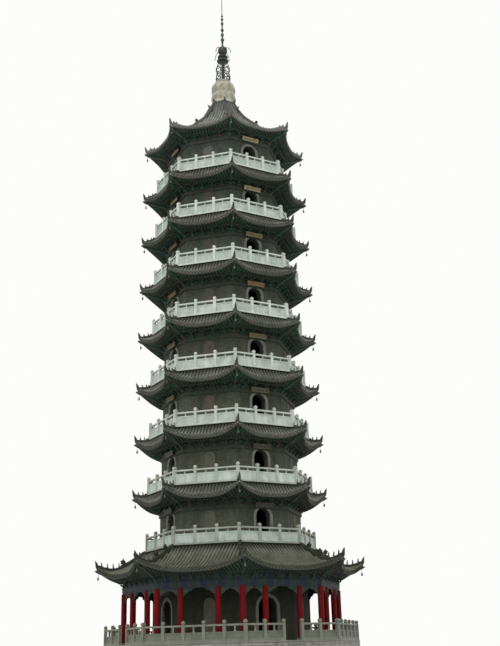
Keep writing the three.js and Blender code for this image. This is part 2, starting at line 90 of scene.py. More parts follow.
def storey_sizes(storey):
    """The levels and distances from the axis that the pieces of one storey share."""
    wall_low, wall_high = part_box("wall_1_right" if storey == GROUND else f"wall_{storey}")
    bracket_low, bracket_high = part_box(f"brackets_{storey}")
    roof_low, roof_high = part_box(f"roof_{storey}")
    tip_radius = (roof_high[0] - RIDGE_WIDTH / 2 * math.sin(TURN / 2)) / APOTHEM
    tip_rise = TIP_RISE - TIP_RISE_LOST_PER_STOREY * (storey - 2)
    sizes = {
        "floor": wall_low[2],
        "wall": wall_high[0],
        "wall_top": wall_high[2],
        "thickness": WALL_THICKNESS,
        "bracket_bottom": bracket_low[2],
        "bracket_out": bracket_high[0],
        "seat": bracket_high[2],
        "eave": roof_low[2],
        "eave_out": tip_radius * APOTHEM - EAVE_BEHIND_TIP,
        "tip": roof_low[2] + tip_rise,
        "tip_radius": tip_radius,
    }
    if storey == GROUND:
        sizes.update(GROUND_SIZES)
    if storey < TOP:
        slab_low, slab_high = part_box(f"floor_{storey + 1}")
        sizes["slab"] = slab_low[2]
        sizes["slab_out"] = slab_high[0]
    sizes["inner"] = sizes["wall"] - sizes["thickness"]
    return sizes


SIZES = {storey: storey_sizes(storey) for storey in STOREYS}
print("storey floors at", [round(SIZES[storey]["floor"], 3) for storey in STOREYS])

# %% [markdown]
# A piece is one mesh object at the origin, with its place in its vertices. It rides on the tower's
# only body, takes its finish as a material, and may stand for plain solids, which are then no
# longer shown. One helper does all of this, so that no piece misses a step.

# %% Handing a piece over
SHARP_ANGLE = math.radians(40)


def mesh_piece(name, vertices, faces=(), edges=()):
    mesh = bpy.data.meshes.new(name)
    mesh.from_pydata([tuple(v) for v in vertices], edges, faces)
    mesh.update()
    piece = bpy.data.objects.new(name, mesh)
    bpy.context.scene.collection.objects.link(piece)
    return piece


def hand_over(piece, material, replaced=(), smooth=False):
    """Gives a finished piece its material and its place in the part."""
    piece.data.materials.clear()
    piece.data.materials.append(material)
    if smooth:
        piece.data.shade_smooth()
        piece.data.set_sharp_from_angle(angle=SHARP_ANGLE)
    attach(piece, "root")
    if replaced:
        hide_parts(*replaced)


print("solids in the frame:", len(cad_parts))

# %% [markdown]
# Much of the tower is thousands of small closed solids. Each could be an object that is joined to
# the others later, but gathering plain vertices and faces is far quicker. The gatherer also turns
# a solid that came out inside out the right way round.

# %% Gathering small solids
def signed_volume(vertices, faces):
    """Above zero when the faces of a closed solid look outwards."""
    total = 0.0
    for face in faces:
        first = vertices[face[0]]
        for second, third in zip(face[1:], face[2:]):
            total += first.dot(vertices[second].cross(vertices[third]))
    return total / 6


def oblong(left, right, low, high):
    """The four corners of a rectangle, anticlockwise."""
    return [(left, low), (right, low), (right, high), (left, high)]


class Gatherer:
    """Gathers vertices and faces, so that many small closed solids make one piece."""

    def __init__(self):
        self.vertices = []
        self.faces = []

    def add(self, vertices, faces, matrix=None):
        start = len(self.vertices)
        vertices = [Vector(v) for v in vertices]
        if matrix is not None:
            vertices = [matrix @ v for v in vertices]
        if signed_volume(vertices, faces) < 0:
            faces = [tuple(reversed(face)) for face in faces]
        self.vertices.extend(vertices)
        self.faces.extend([tuple(start + i for i in face) for face in faces])

    def box(self, low, high, matrix=None):
        (x0, y0, z0), (x1, y1, z1) = low, high
        corners = [(x, y, z) for z in (z0, z1) for x, y in oblong(x0, x1, y0, y1)]
        faces = [(3, 2, 1, 0), (4, 5, 6, 7), (0, 1, 5, 4), (1, 2, 6, 5), (2, 3, 7, 6), (3, 0, 4, 7)]
        self.add(corners, faces, matrix)

    def piece(self, name):
        return mesh_piece(name, self.vertices, self.faces)


trial = Gatherer()
trial.box((0, 0, 0), (1, 1, 1))
print("a box one metre wide holds", signed_volume(trial.vertices, trial.faces), "cubic metres")

# %% [markdown]
# Carved and turned work comes down to a few kinds of solid: a turned knob, a loft through sections,
# an outline made thick, a ring round the tower. Blender's curves and modifiers could make each, but
# drawn point by point they need no cleaning up afterwards.

# %% Kinds of small solid
class Solid(Gatherer):
    """A gatherer that can draw the kinds of solid this tower needs."""

    def lathe(self, outline, sides, matrix=None):
        """A round solid about the Z axis; the outline runs upwards from the axis to the axis."""
        vertices = [(0, 0, outline[0][1])]
        faces = []
        rings = outline[1:-1]
        for radius, height in rings:
            for side in range(sides):
                turn = 2 * math.pi * side / sides
                vertices.append((radius * math.cos(turn), radius * math.sin(turn), height))
        vertices.append((0, 0, outline[-1][1]))
        last = len(vertices) - 1
        for side in range(sides):
            following = (side + 1) % sides
            faces.append((0, 1 + following, 1 + side))
            for ring in range(len(rings) - 1):
                low, high = 1 + ring * sides, 1 + (ring + 1) * sides
                faces.append((low + side, low + following, high + following, high + side))
            top = 1 + (len(rings) - 1) * sides
            faces.append((top + side, top + following, last))
        self.add(vertices, faces, matrix)

    def loft(self, loops, matrix=None):
        """Joins loops of the same length, one after the other, and closes both ends."""
        count = len(loops[0])
        vertices = [point for loop in loops for point in loop]
        faces = [tuple(reversed(range(count)))]
        for ring in range(len(loops) - 1):
            low, high = ring * count, (ring + 1) * count
            for i in range(count):
                j = (i + 1) % count
                faces.append((low + i, low + j, high + j, high + i))
        last = (len(loops) - 1) * count
        faces.append(tuple(range(last, last + count)))
        self.add(vertices, faces, matrix)

    def slab(self, outline, thickness, matrix=None, edge=1.0):
        """An outline in the X-Z plane made thick along Y; `edge` narrows its two faces."""
        middle = Vector((sum(x for x, _ in outline), sum(z for _, z in outline))) / len(outline)
        shares = [(-0.5, edge), (-0.25, 1.0), (0.25, 1.0), (0.5, edge)]
        if edge == 1.0:
            shares = [shares[0], shares[-1]]
        loops = []
        for y, share in shares:
            loops.append([
                (middle.x + (x - middle.x) * share, y * thickness, middle.y + (z - middle.y) * share)
                for x, z in outline
            ])
        self.loft(loops, matrix)

    def wrap(self, loops):
        """Joins loops in order and the last to the first again, as a closed ring."""
        count = len(loops[0])
        faces = []
        for ring in range(len(loops)):
            here, there = ring * count, (ring + 1) % len(loops) * count
            for i in range(count):
                j = (i + 1) % count
                faces.append((here + i, there + i, there + j, here + j))
        self.add([point for loop in loops for point in loop], faces)

    def ring(self, section):
        """An octagonal ring from a closed section of (distance out to a side, height)."""
        loops = []
        for corner in range(SIDES):
            turn = (corner + 0.5) * TURN
            reaches = [(out / APOTHEM, height) for out, height in section]
            loops.append([(r * math.cos(turn), r * math.sin(turn), height) for r, height in reaches])
        self.wrap(loops)


print("kinds of solid:", [name for name in vars(Solid) if not name.startswith("_")])

# %% [markdown]
# Every finish is procedural: noises, ramps and patterns are mixed to a colour, and a bump gives it
# grain. Patterns read Object coordinates, which are the same for all pieces because each sits at
# the origin. The same few nodes come back in every finish, so a small class gives them short names,
# and one call at the end links the colour and the bump to the shader.

# %% Helpers for materials
NOISE_ROUGHNESS = 0.55


class Nodes:
    """A new material, with short names for the nodes that the finishes share."""

    def __init__(self, name):
        self.material = bpy.data.materials.new(name)
        self.material.use_nodes = True
        self.tree = self.material.node_tree
        self.tree.nodes.clear()
        self.shader = self.node("ShaderNodeBsdfPrincipled")
        self.node("ShaderNodeOutputMaterial", {"Surface": self.shader.outputs["BSDF"]})
        self.place = self.node("ShaderNodeTexCoord").outputs["Object"]

    def feed(self, socket, value):
        """Gives a socket a link from another node, a colour, or plain numbers."""
        if isinstance(value, bpy.types.NodeSocket):
            self.tree.links.new(value, socket)
        elif socket.type == "RGBA":
            socket.default_value = (*value, 1)
        else:
            socket.default_value = value

    def node(self, kind, inputs=None, **settings):
        """A new node with its settings, and its inputs by name or by number."""
        node = self.tree.nodes.new(kind)
        for name, value in settings.items():
            setattr(node, name, value)
        for name, value in (inputs or {}).items():
            self.feed(node.inputs[name], value)
        return node

    def stretched(self, scale):
        mapping = self.node("ShaderNodeMapping", {"Vector": self.place, "Scale": scale})
        return mapping.outputs["Vector"]

    def noise(self, scale, detail, stretch=None):
        place = self.stretched(stretch) if stretch else self.place
        inputs = {"Vector": place, "Scale": scale, "Detail": detail, "Roughness": NOISE_ROUGHNESS}
        return self.node("ShaderNodeTexNoise", inputs).outputs["Fac"]

    def ramp(self, value, stops):
        ramp = self.node("ShaderNodeValToRGB", {"Fac": value})
        elements = ramp.color_ramp.elements
        while len(elements) < len(stops):
            elements.new(0.5)
        for element, (position, colour) in zip(elements, stops):
            element.position = position
            element.color = (*colour, 1)
        return ramp.outputs["Color"]

    def clouds(self, scale, detail, stops, stretch=None):
        """Noise turned into colours."""
        return self.ramp(self.noise(scale, detail, stretch), stops)

    def math(self, operation, *values):
        node = self.node("ShaderNodeMath", dict(enumerate(values)), operation=operation)
        return node.outputs["Value"]

    def mix(self, amount, first, second, blend="MIX"):
        node = self.node("ShaderNodeMix", data_type="RGBA", blend_type=blend)
        sockets = {socket.identifier: socket for socket in node.inputs}
        self.feed(sockets["Factor_Float"], amount)
        self.feed(sockets["A_Color"], first)
        self.feed(sockets["B_Color"], second)
        return next(socket for socket in node.outputs if socket.identifier == "Result_Color")

    def tinted(self, colour, *tints):
        """A colour multiplied by one tint after the other."""
        for tint in tints:
            colour = self.mix(1.0, colour, tint, "MULTIPLY")
        return colour

    def bump(self, height, distance, strength, before=None):
        inputs = {"Height": height, "Distance": distance, "Strength": strength}
        if before is not None:
            inputs["Normal"] = before
        return self.node("ShaderNodeBump", inputs).outputs["Normal"]

    def grain(self, scale, detail, distance, strength):
        return self.bump(self.noise(scale, detail), distance, strength)

    def split(self, vector):
        return self.node("ShaderNodeSeparateXYZ", {"Vector": vector}).outputs

    def finished(self, colour, normal, roughness, gloss=0.5, metallic=0.0):
        """The material, with its even values set on the shader's own sockets."""
        self.feed(self.shader.inputs["Base Color"], colour)
        self.feed(self.shader.inputs["Normal"], normal)
        self.shader.inputs["Roughness"].default_value = roughness
        self.shader.inputs["Specular IOR Level"].default_value = gloss
        self.shader.inputs["Metallic"].default_value = metallic
        return self.material


print("short names:", [name for name in vars(Nodes) if not name.startswith("_")])

# %% [markdown]
# On an octagon, courses of brick must run along each wall, and plain Object coordinates would cut
# through them aslant. Unwrapping the walls could solve that, but their meshes are left as they are.
# So one helper turns the surface's normal into a distance along the side, with the height beside
# it. Others measure how far out a point lies, and let a colour change up the tower.

# %% Patterns on an octagon
TOWER_HEIGHT = cad_box[1][2]
FLAT_ENOUGH = 0.7


def along_wall(nodes):
    """Distance along an upright face and height, for courses and bands; X and Y on a flat one."""
    normal = nodes.node("ShaderNodeNewGeometry").outputs["True Normal"]
    cross = nodes.node("ShaderNodeVectorMath", {0: (0, 0, 1), 1: normal}, operation="CROSS_PRODUCT")
    inputs = {0: nodes.place, 1: cross.outputs["Vector"]}
    dot = nodes.node("ShaderNodeVectorMath", inputs, operation="DOT_PRODUCT")
    x, y, height = nodes.split(nodes.place)
    upright = nodes.math("ABSOLUTE", nodes.split(normal)["Z"])
    is_flat = nodes.math("GREATER_THAN", upright, FLAT_ENOUGH)
    along = nodes.math("MULTIPLY_ADD", is_flat, x, dot.outputs["Value"])
    rise = nodes.math("MULTIPLY_ADD", is_flat, nodes.math("SUBTRACT", y, height), height)
    return nodes.node("ShaderNodeCombineXYZ", {"X": along, "Y": rise}).outputs["Vector"]


def outward(nodes):
    """Distance out of the axis, square to the nearest side."""
    x, y, _ = nodes.split(nodes.place)
    angle = nodes.math("ARCTAN2", y, x)
    share = nodes.math("FRACT", nodes.math("MULTIPLY_ADD", angle, 1 / TURN, SIDES + 0.5))
    local = nodes.math("MULTIPLY", nodes.math("SUBTRACT", share, 0.5), TURN)
    square = nodes.math("ADD", nodes.math("MULTIPLY", x, x), nodes.math("MULTIPLY", y, y))
    return nodes.math("MULTIPLY", nodes.math("SQRT", square), nodes.math("COSINE", local))


def by_height(nodes, stops):
    """A colour that changes up the tower; stops are given as heights in metres."""
    height = nodes.math("DIVIDE", nodes.split(nodes.place)["Z"], TOWER_HEIGHT)
    return nodes.ramp(height, [(level / TOWER_HEIGHT, colour) for level, colour in stops])


def courses(nodes, sizes, light, dark, joint_colour):
    """Bricks or blocks along each wall: their colour, and where the joints are."""
    width, height, joint = sizes
    brick = nodes.node("ShaderNodeTexBrick", {
        "Vector": along_wall(nodes), "Scale": 1.0,
        "Brick Width": width, "Row Height": height, "Mortar Size": joint,
        "Color1": light, "Color2": dark, "Mortar": joint_colour,
    })
    return brick.outputs["Color"], brick.outputs["Fac"]


print("a finish can change over", round(TOWER_HEIGHT, 2), "m of height")

# %% [markdown]
# The walls are grey-green brick in courses of about 65 mm. Real bricks could be copied along each
# wall, but there would be tens of thousands of them, and no joint is deep enough to show from
# below. So the courses are a pattern with bump. Rain streaks make the grey uneven, and each storey
# is painted lighter near its floor and darker under its eave: painted light and painted shade.

# %% Grey brick
BRICK_SIZES = 0.24 * HALF, 0.065 * HALF, 0.008 * HALF
# Heights of the painted light over each floor and of the painted shade under each eave
FLOOR_LIGHT_RISE, EAVE_SHADE_DROP = 0.9 * HALF, 0.1 * HALF
WARM_FLOOR_LIGHT_AND_EAVE_SHADE = (1.3, 1.26, 1.22), (0.66, 0.74, 0.7)
COOL_FLOOR_LIGHT_AND_EAVE_SHADE = (1.2, 1.36, 1.44), (0.68, 0.82, 0.84)
COOL_FROM = 7


def grey_brick(name, light, dark, mortar):
    nodes = Nodes(name)
    colour, joint = courses(nodes, BRICK_SIZES, light, dark, mortar)
    streak_stops = [(0.3, (0.62, 0.64, 0.6)), (0.7, (1.15, 1.13, 1.05))]
    streak = nodes.clouds(1.0, 5, streak_stops, (2.2, 2.2, 0.5))
    blotch = nodes.clouds(6.0, 6, [(0.35, (0.8, 0.82, 0.8)), (0.65, (1.1, 1.1, 1.06))])
    # Each storey's wall is painted lighter near its floor and darker under its eave: painted light and
    # painted shade.
    light_and_shade = []
    for storey in STOREYS:
        paler, eave_shade = WARM_FLOOR_LIGHT_AND_EAVE_SHADE if storey < COOL_FROM else COOL_FLOOR_LIGHT_AND_EAVE_SHADE
        light_and_shade.append((SIZES[storey]["floor"] + FLOOR_LIGHT_RISE, paler))
        light_and_shade.append((SIZES[storey]["wall_top"] - EAVE_SHADE_DROP, eave_shade))
    colour = nodes.tinted(colour, streak, blotch, by_height(nodes, light_and_shade))
    depth = nodes.math("SUBTRACT", 1.0, joint)
    grain = nodes.grain(90.0, 3, distance=0.002, strength=0.4)
    normal = nodes.bump(depth, distance=0.004, strength=0.8, before=grain)
    return nodes.finished(colour, normal, roughness=0.9)


BRICK = grey_brick("grey brick", (0.099, 0.107, 0.085), (0.061, 0.069, 0.055), (0.105, 0.11, 0.095))
# The brick behind the veranda is a much darker copy of the same brick: painted shade.
SHADED_GROUND_BRICK = grey_brick(
    "veranda brick", (0.039, 0.043, 0.031), (0.025, 0.028, 0.021), (0.043, 0.047, 0.036)
)
print("brick finishes:", BRICK.name, "and", SHADED_GROUND_BRICK.name)

# %% [markdown]
# The roofs carry unglazed grey tiles. Their rows are real geometry, so the material adds what a
# tile is made of: a fired grey body with lichen and dust. Close under each balustrade the tiles are
# painted dark, and up to twice as light further out: painted shade and painted light. So the finish
# also asks how far out of the balustrade's foot a point lies. The balustrades stand a little further
# in at each storey, which is a straight line to follow.

# %% Grey roof tile
EVEN = (1, 1, 1)
RAIL_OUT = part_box("balustrade_2")[1][0]
RAIL_TAPER = (RAIL_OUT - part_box("balustrade_9")[1][0]) / (SIZES[TOP]["floor"] - SIZES[2]["floor"])
RAIL_SHADE_REACH = 2.0 * HALF
RAIL_SHADE_STOPS = [
    (0.0, (0.5, 0.5, 0.47)), (0.09, (0.8, 0.8, 0.77)), (0.17, (1.3, 1.3, 1.27)),
    (0.27, (2.05, 2.05, 2.05)), (0.38, (2.2, 2.2, 2.22)), (0.9, (2.1, 2.1, 2.12)),
]
TILE_LEVELS = [
    (3.5, (0.64, 0.66, 0.6)), (5.0, EVEN), (21.5, (1.02, 1.02, 1.04)), (22.4, (0.56, 0.56, 0.57)),
]


def grey_tile(name, base, paler, has_rail_shade=False):
    nodes = Nodes(name)
    fine = nodes.noise(26.0, 4)
    body = nodes.clouds(2.5, 6, [(0.3, base), (0.7, paler)])
    speck = nodes.ramp(fine, [(0.38, (0.72, 0.74, 0.7)), (0.62, (1.15, 1.13, 1.08))])
    colour = nodes.tinted(body, speck, by_height(nodes, TILE_LEVELS))
    # Painted shade close under each balustrade, and painted light further out towards the eave.
    if has_rail_shade:
        raised = nodes.math("SUBTRACT", nodes.split(nodes.place)["Z"], SIZES[2]["floor"])
        distance = nodes.math("MULTIPLY_ADD", raised, RAIL_TAPER, outward(nodes))
        share = nodes.math("DIVIDE", nodes.math("SUBTRACT", distance, RAIL_OUT), RAIL_SHADE_REACH)
        colour = nodes.tinted(colour, nodes.ramp(share, RAIL_SHADE_STOPS))
    normal = nodes.bump(fine, distance=0.006, strength=0.6)
    return nodes.finished(colour, normal, roughness=0.82, gloss=0.25)


TILE = grey_tile("grey roof tile", (0.062, 0.066, 0.057), (0.122, 0.124, 0.108), True)
EDGE_TILE = grey_tile("eave tile", (0.06, 0.062, 0.056), (0.11, 0.111, 0.1))
# The tile bed is painted lighter than the tiles, to lift the shade between the rows: painted light.
DECK = grey_tile("tile bed", (0.1, 0.106, 0.092), (0.172, 0.175, 0.152), True)
RIDGE = grey_tile("ridge tile", (0.038, 0.04, 0.034), (0.075, 0.077, 0.066))
TOP_TILE = grey_tile("bleached roof tile", (0.19, 0.2, 0.186), (0.32, 0.334, 0.312))
TOP_EDGE_TILE = grey_tile("bleached eave tile", (0.12, 0.127, 0.118), (0.2, 0.209, 0.196))
# The top roof's tile bed is painted lighter than its tiles too: painted light between the rows.
TOP_DECK = grey_tile("bleached tile bed", (0.3, 0.312, 0.29), (0.45, 0.465, 0.437))
TOP_RIDGE = grey_tile("bleached ridge tile", (0.1, 0.104, 0.096), (0.175, 0.18, 0.167))
FIGURE_TILE = grey_tile("ridge figure tile", (0.11, 0.11, 0.104), (0.21, 0.205, 0.19))
print("balustrades stand in by", round(RAIL_TAPER, 4), "m for each metre up")

# %% [markdown]
# The balustrades and door frames are pale marble, the terrace is granite in blocks, and the spire
# stands on a yellowish drum. Stone weathers from its edges: dirt gathers in a faint cloud and runs
# down. One flat colour would look like plastic, so each stone mixes a clean tone with a stained
# one through noise. The marble grows darker towards the ground, and on the terrace that is painted shade.

# %% Marble and stone
# Painted shade on the terrace balustrade, the lowest stop of both marble ramps; above it the marble is
# darker lower down.
TERRACE_SHADE = 0.3, 0.285, 0.25
RAIL_TONE_AND_SHADE = [
    (1.4, TERRACE_SHADE), (4.2, (0.5, 0.49, 0.46)), (8.0, (0.84, 0.84, 0.825)), (14.0, EVEN),
]
PANEL_TONE_AND_SHADE = [
    (1.4, TERRACE_SHADE), (4.2, (0.96, 0.97, 1.03)), (6.3, (1.06, 1.06, 1.1)),
    (8.4, (1.02, 1.01, 1.04)), (10.6, (1.04, 1.03, 1.04)), (14.0, EVEN),
]
BLOCK_SIZES = 0.9 * HALF, 0.3 * HALF, 0.006


def marble_finish(name, dark, light, tone_and_shade_stops):
    nodes = Nodes(name)
    vein = nodes.clouds(3.0, 8, [(0.35, dark), (0.62, light)])
    stain_stops = [(0.4, (0.84, 0.87, 0.83)), (0.68, (1.04, 1.04, 1.03))]
    stain = nodes.clouds(1.6, 6, stain_stops, (3.0, 3.0, 0.7))
    colour = nodes.tinted(vein, stain, by_height(nodes, tone_and_shade_stops))
    grain = nodes.grain(60.0, 4, distance=0.0015, strength=0.35)
    return nodes.finished(colour, grain, roughness=0.55)


def cut_stone(name, light, dark, joint_colour):
    """Blocks laid in courses along each side."""
    nodes = Nodes(name)
    colour, joint = courses(nodes, BLOCK_SIZES, light, dark, joint_colour)
    grime = nodes.clouds(4.0, 7, [(0.3, (0.7, 0.7, 0.68)), (0.7, (1.12, 1.1, 1.08))])
    depth = nodes.math("SUBTRACT", 1.0, joint)
    grain = nodes.grain(70.0, 5, distance=0.002, strength=0.5)
    normal = nodes.bump(depth, distance=0.004, strength=0.7, before=grain)
    return nodes.finished(nodes.tinted(colour, grime), normal, roughness=0.8)


def plain_stone(name, light, dark, roughness=0.75, levels=((0.0, EVEN),)):
    """Weathered stone or plaster; it may change a little up the tower."""
    nodes = Nodes(name)
    stone = nodes.clouds(5.0, 7, [(0.3, dark), (0.7, light)])
    colour = nodes.tinted(stone, by_height(nodes, levels))
    return nodes.finished(colour, nodes.grain(45.0, 5, distance=0.003, strength=0.5), roughness)


MARBLE = marble_finish("balustrade marble", (0.53, 0.585, 0.54), (0.7, 0.76, 0.715), RAIL_TONE_AND_SHADE)
# The panels are a darker copy of the balustrade marble: painted shade between posts and handrail.
SHADED_PANEL_MARBLE = marble_finish("panel marble", (0.4, 0.465, 0.42), (0.54, 0.605, 0.555), PANEL_TONE_AND_SHADE)
TERRACE_STONE = cut_stone("terrace granite", (0.3, 0.3, 0.28), (0.24, 0.24, 0.225), (0.12, 0.12, 0.11))
FRAME_STONE = plain_stone("door frame stone", (0.23, 0.22, 0.2), (0.14, 0.14, 0.125))
DRUM_STONE = plain_stone("drum stone", (0.5, 0.48, 0.41), (0.25, 0.24, 0.17))
DIMMED = 0.78, 0.74, 0.82
# The plaster is darker on the upper storeys, and lighter and bluer on the top one.
PANEL_LEVELS = [
    (7.0, EVEN), (9.0, (0.95, 0.8, 0.85)), (14.0, DIMMED), (18.5, DIMMED), (19.5, (1.25, 1.25, 1.7)),
]
PANEL_STONE = plain_stone("panel plaster", (0.135, 0.13, 0.094), (0.09, 0.09, 0.066), 0.9, PANEL_LEVELS)
print("finishes so far:", len(bpy.data.materials))

# %% [markdown]
# Timber is painted: red lacquer on the columns, blue and green on beams and brackets, a dull dark
# green on the floor edges, painted darker still as painted shade under the balustrades. Painted wood
# shows brush grain along its length and chalky, faded patches. The small carved parts are painted in
# several colours, and one material does them all: it picks a colour by cells of space, so that
# neighbours differ without a material for each.

# %% Paint on timber
def painted_wood(name, colour, faded, roughness, stretch=(8.0, 8.0, 1.0), gloss=0.5):
    nodes = Nodes(name)
    grain = nodes.noise(6.0, 5, stretch)
    body = nodes.clouds(2.0, 5, [(0.35, colour), (0.72, faded)])
    shade = nodes.ramp(grain, [(0.3, (0.8, 0.8, 0.8)), (0.7, (1.1, 1.1, 1.1))])
    normal = nodes.bump(grain, distance=0.003, strength=0.4)
    return nodes.finished(nodes.tinted(body, shade), normal, roughness, gloss)


# The paint grows a little greener up the tower, and under the top eave it is painted lighter: painted
# light.
PAINT_TONE_AND_TOP_LIGHT = [
    (4.0, EVEN), (10.0, (1.05, 1.25, 1.12)), (18.4, (1.1, 1.35, 1.25)), (19.8, (1.8, 1.9, 2.05)),
]


def mixed_paint(name, scale, colours):
    """Several colours, which change from one carved piece to the next."""
    nodes = Nodes(name)
    cells = nodes.node("ShaderNodeTexVoronoi", {"Vector": nodes.place, "Scale": scale})
    choice = nodes.split(cells.outputs["Color"])["X"]
    stops = [((index + 0.5) / len(colours), colour) for index, colour in enumerate(colours)]
    age = nodes.clouds(7.0, 6, [(0.3, (0.6, 0.6, 0.6)), (0.7, (1.15, 1.12, 1.05))])
    colour = nodes.tinted(nodes.ramp(choice, stops), age, by_height(nodes, PAINT_TONE_AND_TOP_LIGHT))
    return nodes.finished(colour, nodes.grain(40.0, 4, distance=0.001, strength=0.4), roughness=0.75)


HALF_PERIOD = 0.5
LINE_FROM = 0.455
ABOVE_ZERO = 100.0


def banded_paint(name, first, second, line, period):
    """Beams painted in alternating blue and green lengths with a pale line between them."""
    nodes = Nodes(name)
    along = nodes.split(along_wall(nodes))["X"]
    periods = nodes.math("ADD", nodes.math("DIVIDE", along, period), ABOVE_ZERO)
    phase = nodes.math("FRACT", periods)
    paint = nodes.mix(nodes.math("GREATER_THAN", phase, HALF_PERIOD), first, second)
    half_phase = nodes.math("FRACT", nodes.math("MULTIPLY", phase, 2.0))
    edge = nodes.math("ABSOLUTE", nodes.math("SUBTRACT", half_phase, 0.5))
    paint = nodes.mix(nodes.math("GREATER_THAN", edge, LINE_FROM), paint, line)
    age = nodes.clouds(5.0, 6, [(0.3, (0.55, 0.56, 0.56)), (0.7, (1.05, 1.05, 1.0))])
    grain = nodes.grain(40.0, 4, distance=0.001, strength=0.4)
    return nodes.finished(nodes.tinted(paint, age), grain, roughness=0.7)


RED = painted_wood("red lacquer", (0.165, 0.003, 0.005), (0.115, 0.006, 0.008), 0.6, gloss=0.1)
# Dark green paint, darkened further as painted shade under the balustrades.
FLOOR_EDGE = painted_wood(
    "floor edge paint", (0.012, 0.016, 0.011), (0.021, 0.023, 0.016), 0.8, (1, 1, 6), 0.1
)
EAVE_BOARD = painted_wood("eave board paint", (0.062, 0.066, 0.055), (0.09, 0.088, 0.074), 0.8)
BEAM_LENGTH = 1.3 * HALF
BEAM = banded_paint(
    "veranda beam paint", (0.01, 0.022, 0.05), (0.013, 0.036, 0.03), (0.06, 0.054, 0.03), BEAM_LENGTH
)
BRACKET = mixed_paint("bracket paint", 7.0, [
    (0.018, 0.05, 0.04), (0.034, 0.046, 0.03), (0.02, 0.062, 0.058), (0.05, 0.034, 0.022),
])
RAFTER = mixed_paint("rafter paint", 4.0, [
    (0.036, 0.066, 0.048), (0.052, 0.082, 0.06), (0.056, 0.056, 0.038),
])
EAVE_BEAM = mixed_paint("eave beam paint", 3.0, [
    (0.026, 0.033, 0.025), (0.038, 0.042, 0.03), (0.024, 0.036, 0.031), (0.04, 0.036, 0.026),
])
SOFFIT = mixed_paint("soffit paint", 2.5, [
    (0.04, 0.072, 0.054), (0.056, 0.086, 0.066), (0.044, 0.076, 0.07),
])
print("finishes so far:", len(bpy.data.materials))

# %% [markdown]
# The spire and the bells are bronze under a dull patina. Plaques over the doors have gilded frames
# round a plain field. Both are painted darker lower down, and the frames off the front darker still:
# painted shade over some real wear. A painted image could hold that, but a ramp over the height needs
# none.

# %% Bronze and gilding
def patina_bronze(name, dark, light):
    nodes = Nodes(name)
    patina = nodes.clouds(9.0, 6, [(0.35, dark), (0.7, light)])
    grain = nodes.grain(50.0, 4, distance=0.002, strength=0.4)
    return nodes.finished(patina, grain, roughness=0.5, metallic=0.6)


def worn_and_shaded_paint(name, stops):
    """Paint or gold leaf with some wear, painted darker lower down the tower as painted shade."""
    nodes = Nodes(name)
    wear = nodes.clouds(12.0, 5, [(0.35, (0.5, 0.48, 0.45)), (0.6, EVEN)])
    colour = nodes.tinted(by_height(nodes, stops), wear)
    return nodes.finished(colour, nodes.grain(60.0, 4, distance=0.001, strength=0.4), roughness=0.55)


BRONZE = patina_bronze("patina bronze", (0.035, 0.05, 0.045), (0.09, 0.12, 0.11))
BELL_BRONZE = patina_bronze("bell bronze", (0.07, 0.075, 0.075), (0.13, 0.14, 0.135))
GILT_AND_SHADE_STOPS = [
    (6.0, (0.06, 0.055, 0.035)), (9.8, (0.15, 0.135, 0.075)), (11.9, (0.24, 0.2, 0.11)),
    (14.2, (0.36, 0.22, 0.12)), (16.2, (0.27, 0.25, 0.12)), (18.3, (0.52, 0.47, 0.26)),
]
SHADED_GILT_STOPS = [
    (6.0, (0.045, 0.04, 0.025)), (9.0, (0.13, 0.11, 0.055)),
    (15.0, (0.12, 0.07, 0.03)), (17.0, (0.05, 0.04, 0.025)),
]
FIELD_SHADE = 0.62
FIELD_STOPS = [(level, tuple(part * FIELD_SHADE for part in colour)) for level, colour in GILT_AND_SHADE_STOPS]
GOLD = worn_and_shaded_paint("gilding", GILT_AND_SHADE_STOPS)
SHADED_GOLD = worn_and_shaded_paint("worn gilding", SHADED_GILT_STOPS)
PLAQUE = worn_and_shaded_paint("plaque field", FIELD_STOPS)
print("finishes made:", len(bpy.data.materials))

# %% [markdown]
# Some plain solids already have the right shape: the terrace with its steps, the brick walls and
# the floors. Building them again would gain nothing, so they stay and only get their finish.

# %% Finishes on the solids
solid_finishes = {"terrace": TERRACE_STONE}
for place in ("front", "right", "back", "left"):
    solid_finishes[f"wall_1_{place}"] = SHADED_GROUND_BRICK
for storey in STOREYS[1:]:
    solid_finishes[f"wall_{storey}"] = BRICK
    solid_finishes[f"floor_{storey}"] = FLOOR_EDGE
for node, finish in solid_finishes.items():
    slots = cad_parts[node].data.materials
    slots.clear()
    slots.append(finish)
print("solids that stay:", len(solid_finishes))

# %% [markdown]
# Two small Geometry Nodes trees do the repeating work. The first sweeps a section along every path
# of a mesh of edges, for rows of tiles, rafters and the ribs of the spire. The second stands a copy
# of a solid at each mark, turned and stretched as the mark says, for tile ends, posts, brackets and
# ridge figures. Array modifiers repeat things too, but only evenly, and a swept roof is not even.

# %% Trees that repeat
def new_tree(name, inputs):
    """A tree with named inputs, and the outputs of its first node."""
    tree = bpy.data.node_groups.new(name, "GeometryNodeTree")
    for label, kind in {"Geometry": "Geometry", **inputs}.items():
        tree.interface.new_socket(label, in_out="INPUT", socket_type="NodeSocket" + kind)
    tree.interface.new_socket("Geometry", in_out="OUTPUT", socket_type="NodeSocketGeometry")
    return tree, tree.nodes.new("NodeGroupInput").outputs


def step(tree, kind, inputs, **settings):
    """Adds a node with its settings, links and plain values, and gives its outputs."""
    node = tree.nodes.new(kind)
    for name, value in settings.items():
        setattr(node, name, value)
    for name, value in inputs.items():
        if isinstance(value, bpy.types.NodeSocket):
            tree.links.new(value, node.inputs[name])
        else:
            node.inputs[name].default_value = value
    return node.outputs


